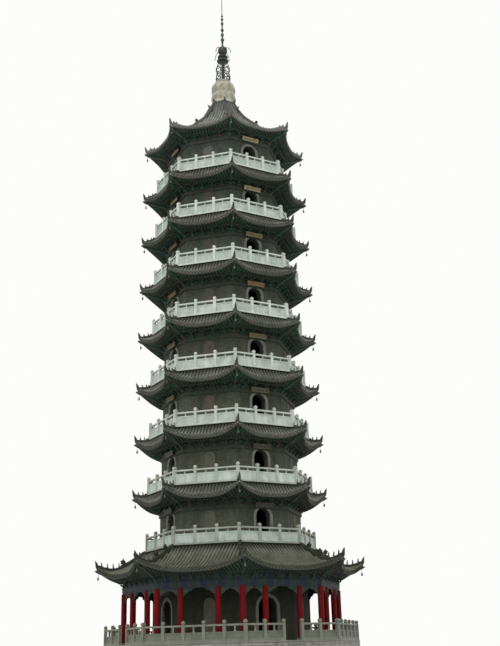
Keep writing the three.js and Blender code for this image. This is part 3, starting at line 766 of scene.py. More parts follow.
def end_tree(tree, geometry, material):
    """Every tree ends in real faces with a material, because the export drops instances."""
    real = step(tree, "GeometryNodeRealizeInstances", {"Geometry": geometry})["Geometry"]
    inputs = {"Geometry": real, "Material": material}
    painted = step(tree, "GeometryNodeSetMaterial", inputs)["Geometry"]
    step(tree, "NodeGroupOutput", {"Geometry": painted})
    return tree


def sweep_tree():
    kinds = {"Width": "Float", "Points": "Int", "Round": "Bool", "Material": "Material"}
    tree, start = new_tree("sweep along paths", kinds)
    width = start["Width"]
    half = step(tree, "ShaderNodeMath", {0: width, 1: 0.5}, operation="MULTIPLY")["Value"]
    inputs = {"Resolution": start["Points"], "Radius": half}
    circle = step(tree, "GeometryNodeCurvePrimitiveCircle", inputs)["Curve"]
    inputs = {"Width": width, "Height": width}
    square = step(tree, "GeometryNodeCurvePrimitiveQuadrilateral", inputs)["Curve"]
    inputs = {"Switch": start["Round"], "False": square, "True": circle}
    section = step(tree, "GeometryNodeSwitch", inputs, input_type="GEOMETRY")["Output"]
    paths = step(tree, "GeometryNodeMeshToCurve", {"Mesh": start["Geometry"]})["Curve"]
    upright = step(tree, "GeometryNodeSetCurveNormal", {"Curve": paths}, mode="Z_UP")["Curve"]
    inputs = {"Curve": upright, "Profile Curve": section, "Fill Caps": True}
    swept_faces = step(tree, "GeometryNodeCurveToMesh", inputs)["Mesh"]
    return end_tree(tree, swept_faces, start["Material"])


def stand_tree():
    tree, start = new_tree("stand at marks", {"Solid": "Object", "Material": "Material"})
    solid = step(tree, "GeometryNodeObjectInfo", {"Object": start["Solid"]})["Geometry"]
    read = "GeometryNodeInputNamedAttribute"
    turn = step(tree, read, {"Name": "turn"}, data_type="FLOAT_VECTOR")["Attribute"]
    stretch = step(tree, read, {"Name": "stretch"}, data_type="FLOAT_VECTOR")["Attribute"]
    inputs = {"Points": start["Geometry"], "Instance": solid, "Rotation": turn, "Scale": stretch}
    copies = step(tree, "GeometryNodeInstanceOnPoints", inputs)["Instances"]
    return end_tree(tree, copies, start["Material"])


SWEEP = sweep_tree()
STAND = stand_tree()
print("trees:", [tree.name for tree in bpy.data.node_groups])

# %% [markdown]
# A modifier could stay on the piece and run its tree again each time. Here the result is kept as a
# plain mesh instead and the modifier is taken off, so that the piece can be handed over and exported
# as it is. A modifier's input has to be set by the socket's identifier, not by its name.

# %% Using the trees
FEWEST_POINTS = 3


def run_tree(piece, tree, values):
    """Runs a tree on a piece and keeps the result as the piece's own plain mesh."""
    modifier = piece.modifiers.new("work", "NODES")
    modifier.node_group = tree
    for socket in tree.interface.items_tree:
        if socket.in_out == "INPUT" and socket.name in values:
            modifier[socket.identifier] = values[socket.name]
    bpy.context.view_layer.update()
    shown = piece.evaluated_get(bpy.context.evaluated_depsgraph_get())
    mesh = bpy.data.meshes.new_from_object(shown)
    mesh.name = piece.name
    piece.modifiers.clear()
    piece.data = mesh
    return piece


def swept(name, paths, material, width, points=0):
    """One piece along many paths; its section is round with that many points, or else square."""
    vertices = [point for path in paths for point in path]
    edges = []
    start = 0
    for path in paths:
        edges += [(start + i, start + i + 1) for i in range(len(path) - 1)]
        start += len(path)
    is_round = points >= FEWEST_POINTS
    values = {"Width": width, "Points": max(points, FEWEST_POINTS), "Round": is_round}
    return run_tree(mesh_piece(name, vertices, edges=edges), SWEEP, {**values, "Material": material})


def mark(place, angle=0.0, stretch=(1, 1, 1)):
    """Where a copy stands, its turn about the upright, and its stretch along X, Y and Z."""
    return place, (0, 0, angle), stretch


def standing(name, solid, marks, material):
    """Copies of a solid at marks, as one piece."""
    original = solid.piece(name + " original")
    piece = mesh_piece(name, [place for place, _, _ in marks])
    for label, column in (("turn", 1), ("stretch", 2)):
        layer = piece.data.attributes.new(label, "FLOAT_VECTOR", "POINT")
        for item, values in zip(layer.data, marks):
            item.vector = values[column]
    run_tree(piece, STAND, {"Solid": original, "Material": material})
    bpy.data.objects.remove(original)
    return piece


def merge(name, pieces):
    """Joins plain mesh pieces that share a finish into one."""
    solid = Solid()
    for piece in pieces:
        vertices = [v.co.copy() for v in piece.data.vertices]
        solid.add(vertices, [tuple(face.vertices) for face in piece.data.polygons])
        bpy.data.objects.remove(piece)
    return solid.piece(name)


print("inputs of the sweep:", [socket.name for socket in SWEEP.interface.items_tree])

# %% [markdown]
# A roof's side is a curved surface, lowest at the middle of the eave and turned up at both corners.
# It could be modelled once by hand and copied, but nine roofs differ in every size. So it is
# described by rows from the eave inwards, each with its distance from the axis and height at the
# middle of the side, and a flare and a lift that grow towards the corners. Tiles, rafters and ridges
# all ask this description where the surface is.

# %% Asking where a roof is
SWEEP_POWER = 3
EDGE_TRIES = 12


def smoothed(rows, steps):
    """A smooth curve through rows of numbers."""
    points = [rows[0], *rows, rows[-1]]
    result = []
    for start in range(len(rows) - 1):
        a, b, c, d = points[start:start + 4]
        for step_index in range(steps):
            t = step_index / steps
            result.append(tuple(
                0.5 * (2 * q + (r - p) * t + (2 * p - 5 * q + 4 * r - s) * t * t
                       + (3 * q - p - 3 * r + s) * t ** 3)
                for p, q, r, s in zip(a, b, c, d)
            ))
    return result + [rows[-1]]


def at_place(row, place):
    """Distance out, height and turn of a row at a place from -1 to 1 along a side."""
    apothem, height, flare, lift = row
    local = place * TURN / 2
    growth = abs(place) ** SWEEP_POWER
    return apothem / math.cos(local) + flare * growth, height + lift * growth, local


def place_of(out, across):
    return max(-1.0, min(1.0, math.atan2(across, out) / (TURN / 2)))


def height_at(rows, out, across):
    """The surface's height over a point of a side, `out` from the axis and `across` the side."""
    place = place_of(out, across)
    before = None
    for row in rows:
        radius, height, local = at_place(row, place)
        distance = radius * math.cos(local)
        if distance <= out:
            if before is None:
                return height
            share = (before[0] - out) / (before[0] - distance)
            return before[1] + (height - before[1]) * share
        before = distance, height
    return before[1]


def edge_at(rows, across):
    """How far out the eave lies at a distance across a side."""
    out = rows[0][0]
    for _ in range(EDGE_TRIES):
        radius, _, local = at_place(rows[0], place_of(out, across))
        out = radius * math.cos(local)
    return out


def half_length(rows):
    """Half the length of the eave of one side."""
    radius, _, local = at_place(rows[0], 1.0)
    return radius * math.sin(local)


def spread(span, pitch):
    """Evenly spaced places from -span to span, about a pitch apart."""
    count = max(1, round(2 * span / pitch))
    return [-span + 2 * span * (i + 0.5) / count for i in range(count)]


print("a corner lifts the eave as the power", SWEEP_POWER, "of the place along the side")

# %% [markdown]
# Each slope hangs a little hollow between eave and floor, as timber roofs of this kind do. The
# ground roof is the widest, and the top roof rises to the foot of the spire, so these two have
# rows of their own. The others are drawn from the levels of their storey.

# %% The slopes of the nine roofs
FASCIA = 0.3 * HALF
HORN = 0.62 * HALF
TIP_INSET = 0.06 * HALF
FOOT_GAP = 0.004
HOLLOW = 0.02 * HALF
MIDDLE_FLARE, MIDDLE_LIFT = 0.35, 0.4
UNDER_INSET, UNDER_RISE = 0.02 * HALF, 0.15 * HALF
OVER_BRACKETS = 0.01, 0.001
SLOPE_STEPS, GROUND_SLOPE_STEPS = 4, 5

# How far a roof's tiles reach up the edge of the floor slab over it
FOOT_RISE = 0.15 * HALF

# Rows of the real tower: distance out, height, flare and lift
GROUND_ROWS = [(8.05, 6.4, 0.1, 0.16), (7.15, 6.82, 0.0, 0.04)]
TOP_ROWS = [
    (4.62, 41.42, 0, 0.12), (3.75, 42.1, 0, 0), (2.9, 42.9, 0, 0), (2.2, 43.68, 0, 0),
    (1.65, 44.5, 0, 0), (1.27, 45.25, 0, 0), (1.1, 45.74, 0, 0),
]


def upper_slope(storey):
    """Rows of the tiled surface, from the eave to what stands over it."""
    s = SIZES[storey]
    flare = s["tip_radius"] - TIP_INSET - s["eave_out"] / APOTHEM
    edge = s["eave_out"], s["eave"] + FASCIA, flare, s["tip"] - HORN - s["eave"]
    if storey == TOP:
        return smoothed([edge, *halved(TOP_ROWS)], SLOPE_STEPS)
    foot = s["slab_out"] + FOOT_GAP, s["slab"] + FOOT_RISE, 0.0, 0.0
    if storey == GROUND:
        return smoothed([edge, *halved(GROUND_ROWS), foot], GROUND_SLOPE_STEPS)
    out, height = [0.5 * (a + b) for a, b in zip(edge[:2], foot[:2])]
    middle = out, height - HOLLOW, edge[2] * MIDDLE_FLARE, edge[3] * MIDDLE_LIFT
    return smoothed([edge, middle, foot], SLOPE_STEPS)


SLOPES = {storey: upper_slope(storey) for storey in STOREYS}


def under_slope(storey):
    """The underside of the eave boards, from the edge in to the brackets."""
    s = SIZES[storey]
    out, _, flare, lift = SLOPES[storey][0]
    past, over = OVER_BRACKETS
    return [
        (out - UNDER_INSET, s["eave"] + UNDER_RISE, flare, lift),
        (s["bracket_out"] + past, s["seat"] + over, 0.0, 0.0),
    ]


print("rows in a slope:", {storey: len(rows) for storey, rows in SLOPES.items()})

# %% [markdown]
# The body of each roof is a closed ring: a beam over the wall, the boards of the eave, and the bed
# under the tiles. A cone of eight sides would have straight eaves, so it is lofted from one section
# instead, turned round the tower in small steps that keep the sweep of the corners smooth. It stands
# for the plain roof solid, and its faces that look down get the paint of the eaves.

# %% Roof bodies
PLACES_PER_SIDE = 14
CLOSER_AT_CORNERS = 0.8
FACES_DOWN = -0.3
BED_DEPTH = 0.04 * HALF
PEAK_NODES = ["roof_peak_right", "roof_peak_left"]

# The inside of the top roof, from the crown down to the wall
ATTIC_ROWS = [
    (0.3, 45.72, 0, 0), (0.3, 44.9, 0, 0), (1.05, 44.2, 0, 0), (2.5, 42.6, 0, 0), (3.9, 41.4, 0, 0),
]


def ring_piece(name, section):
    """A closed ring round the tower from a closed section of rows, listed anticlockwise."""
    loops = []
    for step_index in range(SIDES * PLACES_PER_SIDE):
        side, index = divmod(step_index, PLACES_PER_SIDE)
        share = index / PLACES_PER_SIDE * 2 - 1
        place = math.copysign(abs(share) ** CLOSER_AT_CORNERS, share)
        loop = []
        for row in section:
            radius, height, local = at_place(row, place)
            turn = side * TURN + local
            loop.append((radius * math.cos(turn), radius * math.sin(turn), height))
        loops.append(loop)
    body = Solid()
    body.wrap(loops)
    return body.piece(name)


def roof_body(storey):
    s = SIZES[storey]
    slope = [(out, height - BED_DEPTH, flare, lift) for out, height, flare, lift in SLOPES[storey]]
    edge, inner_under = under_slope(storey)
    section = [(s["inner"], s["seat"], 0.0, 0.0), inner_under, edge, *slope]
    finish, replaced = DECK, [f"roof_{storey}"]
    if storey == TOP:
        section += halved(ATTIC_ROWS)
        finish, replaced = TOP_DECK, replaced + PEAK_NODES
    else:
        section += [(slope[-1][0], s["slab"], 0.0, 0.0), (s["inner"], s["slab"], 0.0, 0.0)]
    piece = ring_piece(f"roof_body_{storey}", section)
    hand_over(piece, finish, replaced)
    piece.data.materials.append(SOFFIT)
    for polygon in piece.data.polygons:
        if polygon.normal.z < FACES_DOWN:
            polygon.material_index = 1
    return len(piece.data.polygons)


print("faces in the roof bodies:", [roof_body(storey) for storey in STOREYS])

# %% [markdown]
# Rows of round cover tiles run straight down each side, about 250 mm apart, and stop at the hips. A
# bump pattern would lie flat against the sky, so the rows are real and are swept along paths that
# lie on the surface. One side is drawn, facing +X, and turned to the other seven.

# %% Paths of the tile rows
# Half the length of a side, for each metre that it lies out from the axis
SLANT = math.tan(TURN / 2)

TILE_PITCH = 0.25 * HALF
TILE_WIDTH = 0.17 * HALF
ROW_FROM_CORNER = 0.05 * HALF
ROW_FROM_HIP = 0.06 * HALF
SHORTEST_ROW = 0.12 * HALF
ROW_PAST_EDGE = 0.03 * HALF
ROW_LIFT = 0.01 * HALF
ROW_STEPS = {GROUND: 14, TOP: 18}
UPPER_ROW_STEPS = 6


def facing(side):
    """Turns a solid drawn with +X out of the tower to face one of the eight sides."""
    return Matrix.Rotation(side * TURN, 4, "Z")


def row_paths(rows, pitch, outset, steps, sink):
    """Paths down one side, from the hip or the inner end of the slope to the eave."""
    paths = []
    for across in spread(half_length(rows) - ROW_FROM_CORNER, pitch):
        out_end = edge_at(rows, across) + outset
        out_start = max(rows[-1][0], abs(across) / SLANT + ROW_FROM_HIP)
        if out_end - out_start < SHORTEST_ROW:
            continue
        path = []
        for step_index in range(steps + 1):
            out = out_start + (out_end - out_start) * step_index / steps
            path.append(Vector((out, across, height_at(rows, out, across) - sink)))
        paths.append(path)
    return paths


def all_sides(paths):
    return [[facing(side) @ point for point in path] for side in range(SIDES) for path in paths]


tile_paths = {}
for storey in STOREYS:
    steps = ROW_STEPS.get(storey, UPPER_ROW_STEPS)
    tile_paths[storey] = row_paths(SLOPES[storey], TILE_PITCH, ROW_PAST_EDGE, steps, -ROW_LIFT)
print("rows on a side:", {storey: len(paths) for storey, paths in tile_paths.items()})

# %% [markdown]
# Each row ends at the eave in a round disc, and a drip tile hangs between every two rows. They could
# be drawn on a band along the eave, but their outline shows against the dark below, so one of each
# is built and copied to marks at the ends of the rows.

# %% Tiles, discs and drips
ROW_POINTS = 8
DISC_RADIUS, DISC_POINTS, RIM_SHARE = TILE_WIDTH / 2 * 1.08, 10, 0.72
DISC_BACK, DISC_FACE, DISC_FRONT = -0.012, 0.002, 0.006
DRIP_WIDTH, DRIP_LENGTH, DRIP_BELOW = TILE_WIDTH * 0.52, 0.15 * HALF, 0.05 * HALF
DRIP_BACK, DRIP_FRONT, NARROWER, SHOULDER_DOWN = -0.004, 0.008, 0.9, 0.45


def disc():
    """A round tile end, with a rim round its slightly hollow face."""
    solid = Solid()
    radius, rim = DISC_RADIUS, DISC_RADIUS * RIM_SHARE
    outline = [
        (0, DISC_BACK), (radius, DISC_BACK), (radius, DISC_FRONT), (rim, DISC_FRONT), (0, DISC_FACE),
    ]
    solid.lathe(outline, DISC_POINTS, Matrix.Rotation(math.pi / 2, 4, "Y"))
    return solid


def drip():
    """A hanging drip tile: a flat tongue that narrows to a point."""
    solid = Solid()
    wide, narrow, shoulder = DRIP_WIDTH, DRIP_WIDTH * NARROWER, -DRIP_LENGTH * SHOULDER_DOWN
    outline = [(-wide, 0), (-narrow, shoulder), (0, -DRIP_LENGTH), (narrow, shoulder), (wide, 0)]
    solid.loft([[(out, y, z) for y, z in outline] for out in (DRIP_BACK, DRIP_FRONT)])
    return solid


def eave_tiles(storey, ends, finish):
    """A disc at the end of each row, and a drip tile between every two, as one piece."""
    disc_marks, drip_marks = [], []
    for side in range(SIDES):
        turn, angle = facing(side), side * TURN
        disc_marks += [mark(turn @ end, angle) for end in ends]
        for end, following in zip(ends, ends[1:]):
            middle = (end + following) / 2 - Vector((0, 0, DRIP_BELOW))
            drip_marks.append(mark(turn @ middle, angle))
    discs = standing(f"discs_{storey}", disc(), disc_marks, finish)
    drips = standing(f"drips_{storey}", drip(), drip_marks, finish)
    return merge(f"eave_tiles_{storey}", [discs, drips])


for storey, paths in tile_paths.items():
    finish, edge_finish = (TOP_TILE, TOP_EDGE_TILE) if storey == TOP else (TILE, EDGE_TILE)
    covers = swept(f"roof_tiles_{storey}", all_sides(paths), finish, TILE_WIDTH, ROW_POINTS)
    hand_over(covers, finish, smooth=True)
    edge_tiles = eave_tiles(storey, [path[-1] for path in paths], edge_finish)
    hand_over(edge_tiles, edge_finish, smooth=True)
    print(covers.name, len(covers.data.polygons), "faces")

# %% [markdown]
# Under the eave, two rows of rafters carry the boards. The flying rafters reach almost to the edge,
# and the common rafters stop short of them, a little lower. Each follows the lift of the corners on
# its own path, so they are swept like the tiles: square bars above, round poles below.

# %% Rafters
RAFTER_PITCH = 0.25 * HALF
RAFTER_SINK = 0.05 * HALF
FLYING_SHORT = 0.08 * HALF
COMMON_SHORT, COMMON_DROP, COMMON_FLARE = 0.42 * HALF, 0.09 * HALF, 0.7
FLYING_WIDTH, COMMON_WIDTH, COMMON_POINTS = 0.1 * HALF, 0.12 * HALF, 6
FLYING_STEPS, COMMON_STEPS = 3, 2


def rafters(storey):
    """Paths of the flying and of the common rafters of one side."""
    edge, inner = under_slope(storey)
    out, height, flare, lift = edge
    flying = row_paths([edge, inner], RAFTER_PITCH, -FLYING_SHORT, FLYING_STEPS, RAFTER_SINK)
    lower = [(out - COMMON_SHORT, height - COMMON_DROP, flare * COMMON_FLARE, lift), inner]
    return flying, row_paths(lower, RAFTER_PITCH, 0.0, COMMON_STEPS, RAFTER_SINK)


flying_paths, common_paths = [], []
for storey in STOREYS:
    flying, common = rafters(storey)
    flying_paths += all_sides(flying)
    common_paths += all_sides(common)
hand_over(swept("flying_rafters", flying_paths, RAFTER, FLYING_WIDTH), RAFTER)
common_rafters = swept("common_rafters", common_paths, BRACKET, COMMON_WIDTH, COMMON_POINTS)
hand_over(common_rafters, BRACKET, smooth=True)
print("rafters:", len(flying_paths), "flying and", len(common_paths), "common")

# %% [markdown]
# A hip ridge runs down each corner over the joint of two sides and ends in a hook that curls up. On
# the ground roof and the top roof its upper length is tall and ends at a large beast; from there to
# the tip it is low and carries the small figures. A bent bar would keep one height, so the ridge is
# lofted from upright loops in the plane of the corner, which follow the tiles below.

# %% The line of a hip ridge
LOW_RIDGE = 0.28 * HALF
TALL_RIDGE = 0.38 * HALF
RIDGE_SINK = 0.08 * HALF
RIDGE_SHOULDER = 0.07 * HALF
RIDGE_OVERLAP = 0.02 * HALF
RIDGE_DROP_LENGTH = 0.05 * HALF
SHORT_TALL_LENGTH = 0.2 * HALF
CLEAR_OF_START, CLEAR_OF_STATION, CLEAR_OF_TIP = 0.1 * HALF, 0.02, 0.36 * HALF
TALL_UNTIL = {GROUND: 8.15 * HALF, TOP: 3.75 * HALF}

# The hook: distance past the tip, foot, top, share of the ridge's width, lean inwards
HOOK = [
    (-0.3, -0.1, 0.2, 1.0, 0.0), (-0.16, -0.09, 0.21, 0.95, 0.04), (-0.04, -0.03, 0.25, 0.85, 0.13),
    (0.01, 0.12, 0.32, 0.75, 0.15), (0.03, 0.32, 0.39, 0.6, 0.13), (0.06, 0.51, 0.53, 0.3, 0.05),
]


def corner_surface(storey):
    """The height of the tiles along a corner, as points of distance out and height."""
    points = []
    for row in reversed(SLOPES[storey]):
        radius, height, _ = at_place(row, 1.0)
        points.append((radius, height))
    return points


def between(points, out):
    """The height at a distance out, read from points in order."""
    for (out0, height0), (out1, height1) in zip(points, points[1:]):
        if out <= out1:
            share = (out - out0) / (out1 - out0)
            return height0 + (height1 - height0) * share
    return points[-1][1]


def ridge_line(storey):
    """Points along the ridge: distance out, foot, top, width and lean."""
    surface = corner_surface(storey)
    tip = SIZES[storey]["tip_radius"]
    if storey == TOP:
        start, first_height = surface[0][0], LOW_RIDGE
    else:
        start, first_height = surface[0][0] - RIDGE_OVERLAP, TALL_RIDGE - FOOT_RISE / 2
    tall_until = TALL_UNTIL.get(storey, start + SHORT_TALL_LENGTH)
    low_from = tall_until + RIDGE_DROP_LENGTH
    outs = [out for out, _ in surface]
    stations = [(start, first_height)]
    first, last = start + CLEAR_OF_START, tall_until - CLEAR_OF_STATION
    stations += [(out, TALL_RIDGE) for out in outs if first < out < last]
    stations += [(tall_until, TALL_RIDGE), (low_from, LOW_RIDGE)]
    first, last = low_from + CLEAR_OF_STATION, tip - CLEAR_OF_TIP
    stations += [(out, LOW_RIDGE) for out in outs if first < out < last]
    line = []
    for out, tall in stations:
        foot = between(surface, out) - RIDGE_SINK
        line.append((out, foot, foot + tall + RIDGE_SINK, RIDGE_WIDTH, 0.0))
    edge = SIZES[storey]["tip"] - HORN + FASCIA
    for out, foot, top, width, lean in HOOK:
        levels = edge + foot * HALF, edge + top * HALF
        line.append((tip + out * HALF, *levels, RIDGE_WIDTH * width, lean * HALF))
    return line


RIDGES = {storey: ridge_line(storey) for storey in STOREYS}
print("sections in a ridge:", {storey: len(line) for storey, line in RIDGES.items()})

# %% [markdown]
# Where the top roof's ridges meet, a rim of tiles and eight small horns close the roof round the
# foot of the spire. The rim bends up at the corners as an eave does, so it is a ring of the same kind.

# %% Hip ridges and crown
CROWN_RIM = [
    (0.9, 45.64, 0.0, 0.0), (1.09, 45.66, 0.02, 0.04), (1.16, 45.74, 0.05, 0.08),
    (1.16, 45.86, 0.06, 0.1), (1.07, 45.91, 0.04, 0.05), (0.9, 45.91, 0.0, 0.0),
]
CROWN_HORN = [
    (1.06, 45.7), (1.2, 45.74), (1.32, 45.86), (1.4, 46.12), (1.28, 46.01), (1.18, 45.95), (1.06, 45.92),
]
CROWN_HORN_WIDTH, CROWN_HORN_EDGE = 0.12 * HALF, 0.75
SHOULDER_SHARE, SLOPE_SHARE, SLOPE_WIDTH = 0.3, 0.3, 0.28


def facing_corner(corner):
    """Turns a solid drawn with +X out of the tower to face one of the eight corners."""
    return Matrix.Rotation((corner + 0.5) * TURN, 4, "Z")


def ridge_loop(out, foot, top, width, lean):
    """One section of a ridge, rounded on top; it leans inwards by `lean` from foot to top."""
    rise = top - foot
    shoulder = top - min(RIDGE_SHOULDER, rise * SHOULDER_SHARE)
    slope = top - (top - shoulder) * SLOPE_SHARE
    section = [(-0.5, foot), (0.5, foot), (0.5, shoulder), (SLOPE_WIDTH, slope)]
    section += [(0.0, top), (-SLOPE_WIDTH, slope), (-0.5, shoulder)]
    return [(out - lean * (height - foot) / rise, across * width, height) for across, height in section]


for storey in STOREYS:
    hips = Solid()
    loops = [ridge_loop(*point) for point in RIDGES[storey]]
    for corner in range(SIDES):
        hips.loft(loops, facing_corner(corner))
    finish = TOP_RIDGE if storey == TOP else RIDGE
    hand_over(hips.piece(f"hip_ridges_{storey}"), finish, smooth=True)
crown_rim = ring_piece("crown_rim", halved(CROWN_RIM))
crown_horns = Solid()
for corner in range(SIDES):
    crown_horns.slab(halved(CROWN_HORN), CROWN_HORN_WIDTH, facing_corner(corner), CROWN_HORN_EDGE)
crown = merge("crown_horns", [crown_rim, crown_horns.piece("horns")])
hand_over(crown, TOP_RIDGE, smooth=True)
print("the crown has", len(crown.data.polygons), "faces")

# %% [markdown]
# Small clay figures sit in a row on the low part of each ridge, and a larger beast with horns ends
# the tall part. They could be sculpted one by one, but from the ground only their outlines tell, so
# each kind is one modest solid, an outline made thick, and a tree of nodes copies it to its marks in
# changing heights.

# %% Ridge figures
SMALL_FIGURE = [
    (-0.1, 0.0), (0.1, 0.0), (0.11, 0.07), (0.06, 0.16), (0.11, 0.24), (0.08, 0.32),
    (0.01, 0.38), (-0.02, 0.27), (-0.08, 0.15),
]
LARGE_FIGURE = [
    (-0.24, 0.0), (0.27, 0.0), (0.33, 0.1), (0.25, 0.2), (0.37, 0.29), (0.3, 0.4), (0.14, 0.42),
    (0.09, 0.6), (-0.02, 0.62), (-0.03, 0.45), (-0.17, 0.4), (-0.25, 0.22),
]
SMALL_THICKNESS, LARGE_THICKNESS, FIGURE_EDGE = 0.13 * HALF, 0.2 * HALF, 0.72
FIGURE_SINK = 0.02 * HALF
FIRST_FIGURE = 0.44 * HALF
SPACING, GROUND_SPACING = 0.33 * HALF, 0.42 * HALF
FIGURES, FEWER_FIGURES, FEWER_FIGURES_FROM, GROUND_FIGURES = 3, 2, 5, 4
SMALL_WIDTH, SMALL_DEPTH, GROUND_FIGURE_HEIGHT = 0.6, 0.75, 0.85
FIGURE_HEIGHT, LOWER_PER_STOREY, HEIGHT_STEP = 0.76, 0.04, 0.06

# Large figures: distance out from the axis, and stretch
BEASTS = {
    GROUND: [(7.95 * HALF, (0.65, 0.9, 0.65)), (7.05 * HALF, (0.6, 0.8, 0.6))],
    TOP: [(3.55 * HALF, (0.42, 0.9, 0.42))],
}


def figure(outline, thickness):
    solid = Solid()
    solid.slab(halved(outline), thickness, None, FIGURE_EDGE)
    return solid


def ridge_mark(storey, corner, out, stretch):
    """A mark on top of a ridge, turned to look outwards."""
    top = between([(point[0], point[2]) for point in RIDGES[storey]], out)
    place = facing_corner(corner) @ Vector((out, 0, top - FIGURE_SINK))
    return mark(place, (corner + 0.5) * TURN, stretch)


def small_figure_marks(storey):
    """The small figures of one roof, from the tip inwards, in three heights that take turns."""
    count = FIGURES if storey < FEWER_FIGURES_FROM else FEWER_FIGURES
    spacing, height = SPACING, FIGURE_HEIGHT - LOWER_PER_STOREY * storey
    if storey == GROUND:
        count, spacing, height = GROUND_FIGURES, GROUND_SPACING, GROUND_FIGURE_HEIGHT
    marks = []
    for corner in range(SIDES):
        for index in range(count):
            out = SIZES[storey]["tip_radius"] - FIRST_FIGURE - spacing * index
            taller = HEIGHT_STEP * ((index * 7 + corner * 3) % 3)
            stretch = SMALL_WIDTH, SMALL_DEPTH, height + taller
            marks.append(ridge_mark(storey, corner, out, stretch))
    return marks


small_marks, large_marks = [], []
for storey in STOREYS:
    small_marks += small_figure_marks(storey)
    for out, stretch in BEASTS.get(storey, ()):
        large_marks += [ridge_mark(storey, corner, out, stretch) for corner in range(SIDES)]
small_figure = figure(SMALL_FIGURE, SMALL_THICKNESS)
small_figures = standing("small_ridge_figures", small_figure, small_marks, FIGURE_TILE)
hand_over(small_figures, FIGURE_TILE, smooth=True)
large_figure = figure(LARGE_FIGURE, LARGE_THICKNESS)
large_figures = standing("large_ridge_figures", large_figure, large_marks, RIDGE)
hand_over(large_figures, RIDGE, smooth=True)
print("ridge figures:", len(small_marks), "small and", len(large_marks), "large")

# %% [markdown]
# Under each corner a heavy beam carries the tip, ends in a carved head and holds a bronze bell. Its
# line bends where it leaves the wall, so it is a loft through upright sections rather than a
# stretched box. A pale board closes the rafters' ends along the eave, as one more ring.

# %% Corner beams, bells and eave boards
BEAM_WIDTH = 0.2 * HALF
BEAM_SAG = 0.3
BEAM_BACK = 0.15 * HALF
ROOT_BELOW, ROOT_ABOVE = 0.28 * HALF, 0.02 * HALF
BEND_BELOW, BEND_ABOVE = 0.2 * HALF, 0.12 * HALF
BELL_INSET, BELL_DROP, BELL_POINTS = 0.2 * HALF, 0.1 * HALF, 8
BOARD_BACK, BOARD_FRONT = 0.07 * HALF, 0.005 * HALF
BOARD_FOOT, BOARD_TOP = 0.07 * HALF, 0.16 * HALF

# The beam's head: distance past the tip, low edge and high edge over its underside, width
BEAM_HEAD = [(-0.25, -0.12, 0.12, 0.2), (-0.1, -0.05, 0.12, 0.18), (-0.01, 0.01, 0.12, 0.14)]
BEAM_HEAD += [(0.06, 0.06, 0.12, 0.08)]
BELL = [
    (0, -0.45), (0.078, -0.45), (0.068, -0.38), (0.058, -0.29), (0.047, -0.25), (0.02, -0.22),
    (0.01, -0.21), (0.01, 0.04), (0, 0.04),
]


def beam_sections(storey):
    """Sections of a corner beam: distance out, low edge, high edge and width."""
    s = SIZES[storey]
    tip, under, seat = s["tip_radius"], s["tip"] - HORN, s["seat"]
    start = s["bracket_out"] / APOTHEM - BEAM_BACK
    bend = under + (seat - under) * BEAM_SAG
    sections = [
        (start, seat - ROOT_BELOW, seat + ROOT_ABOVE, BEAM_WIDTH),
        ((start + tip) / 2, bend - BEND_BELOW, bend + BEND_ABOVE, BEAM_WIDTH),
    ]
    for past_tip, low, high, width in halved(BEAM_HEAD):
        sections.append((tip + past_tip, under + low, under + high, width))
    return sections


corner_beams = Solid()
bell_marks = []
for storey in STOREYS:
    loops = [
        [(out, across, height) for across, height in oblong(-width / 2, width / 2, low, high)]
        for out, low, high, width in beam_sections(storey)
    ]
    bell_out = SIZES[storey]["tip_radius"] - BELL_INSET
    bell_top = SIZES[storey]["tip"] - HORN - BELL_DROP
    for corner in range(SIDES):
        corner_beams.loft(loops, facing_corner(corner))
        bell_marks.append(mark(facing_corner(corner) @ Vector((bell_out, 0, bell_top))))
hand_over(corner_beams.piece("corner_beams"), BRACKET)

bell = Solid()
bell.lathe(halved(BELL), BELL_POINTS)
bells = standing("corner_bells", bell, bell_marks, BELL_BRONZE)
hand_over(bells, BELL_BRONZE, smooth=True)

boards = []
for storey in STOREYS:
    out, _, flare, lift = SLOPES[storey][0]
    eave = SIZES[storey]["eave"]
    section = oblong(out - BOARD_BACK, out + BOARD_FRONT, eave + BOARD_FOOT, eave + BOARD_TOP)
    boards.append(ring_piece("board", [(*point, flare, lift) for point in section]))
hand_over(merge("eave_boards", boards), EAVE_BOARD)
print("bells:", len(bell_marks), "and boards:", len(boards))

# %% [markdown]
# Between the wall and the eave stand sets of brackets, which step outwards on crossed arms with
# small bearing blocks between them. Every arm could be carved in full, but the sets fill a dark
# band that is seen from below, where only their steps and gaps tell, so arms and blocks are plain.

# %% One bracket set
LONGEST_CUT, CUT_SHARE = 0.12, 0.25

# A bearing block: shares of its height, each with half its width there
BLOCK_SECTIONS = ((0, 0.32), (0.45, 0.5), (1, 0.5))


def arm(solid, low, high, rise):
    """A bracket arm: a bar whose lower edge curves up at its ends, along the longer of X and Y."""
    (x0, y0, z0), (x1, y1, z1) = low, high
    along_x = x1 - x0 > y1 - y0
    a, b = (x0, x1) if along_x else (y0, y1)
    cut = min(LONGEST_CUT, (b - a) * CUT_SHARE)
    outline = [(a + cut, z0), (b - cut, z0), (b, z0 + rise), (b, z1), (a, z1), (a, z0 + rise)]
    if along_x:
        loops = [[(u, y, z) for u, z in outline] for y in (y0, y1)]
    else:
        loops = [[(x, u, z) for u, z in outline] for x in (x0, x1)]
    solid.loft(loops)


def block(solid, x, y, z, wide, tall):
    """A small bearing block, narrower at its foot."""
    loops = []
    for rise, share in BLOCK_SECTIONS:
        corners = oblong(-share, share, -share, share)
        loops.append([(x + a * wide, y + b * wide, z + rise * tall) for a, b in corners])
    solid.loft(loops)


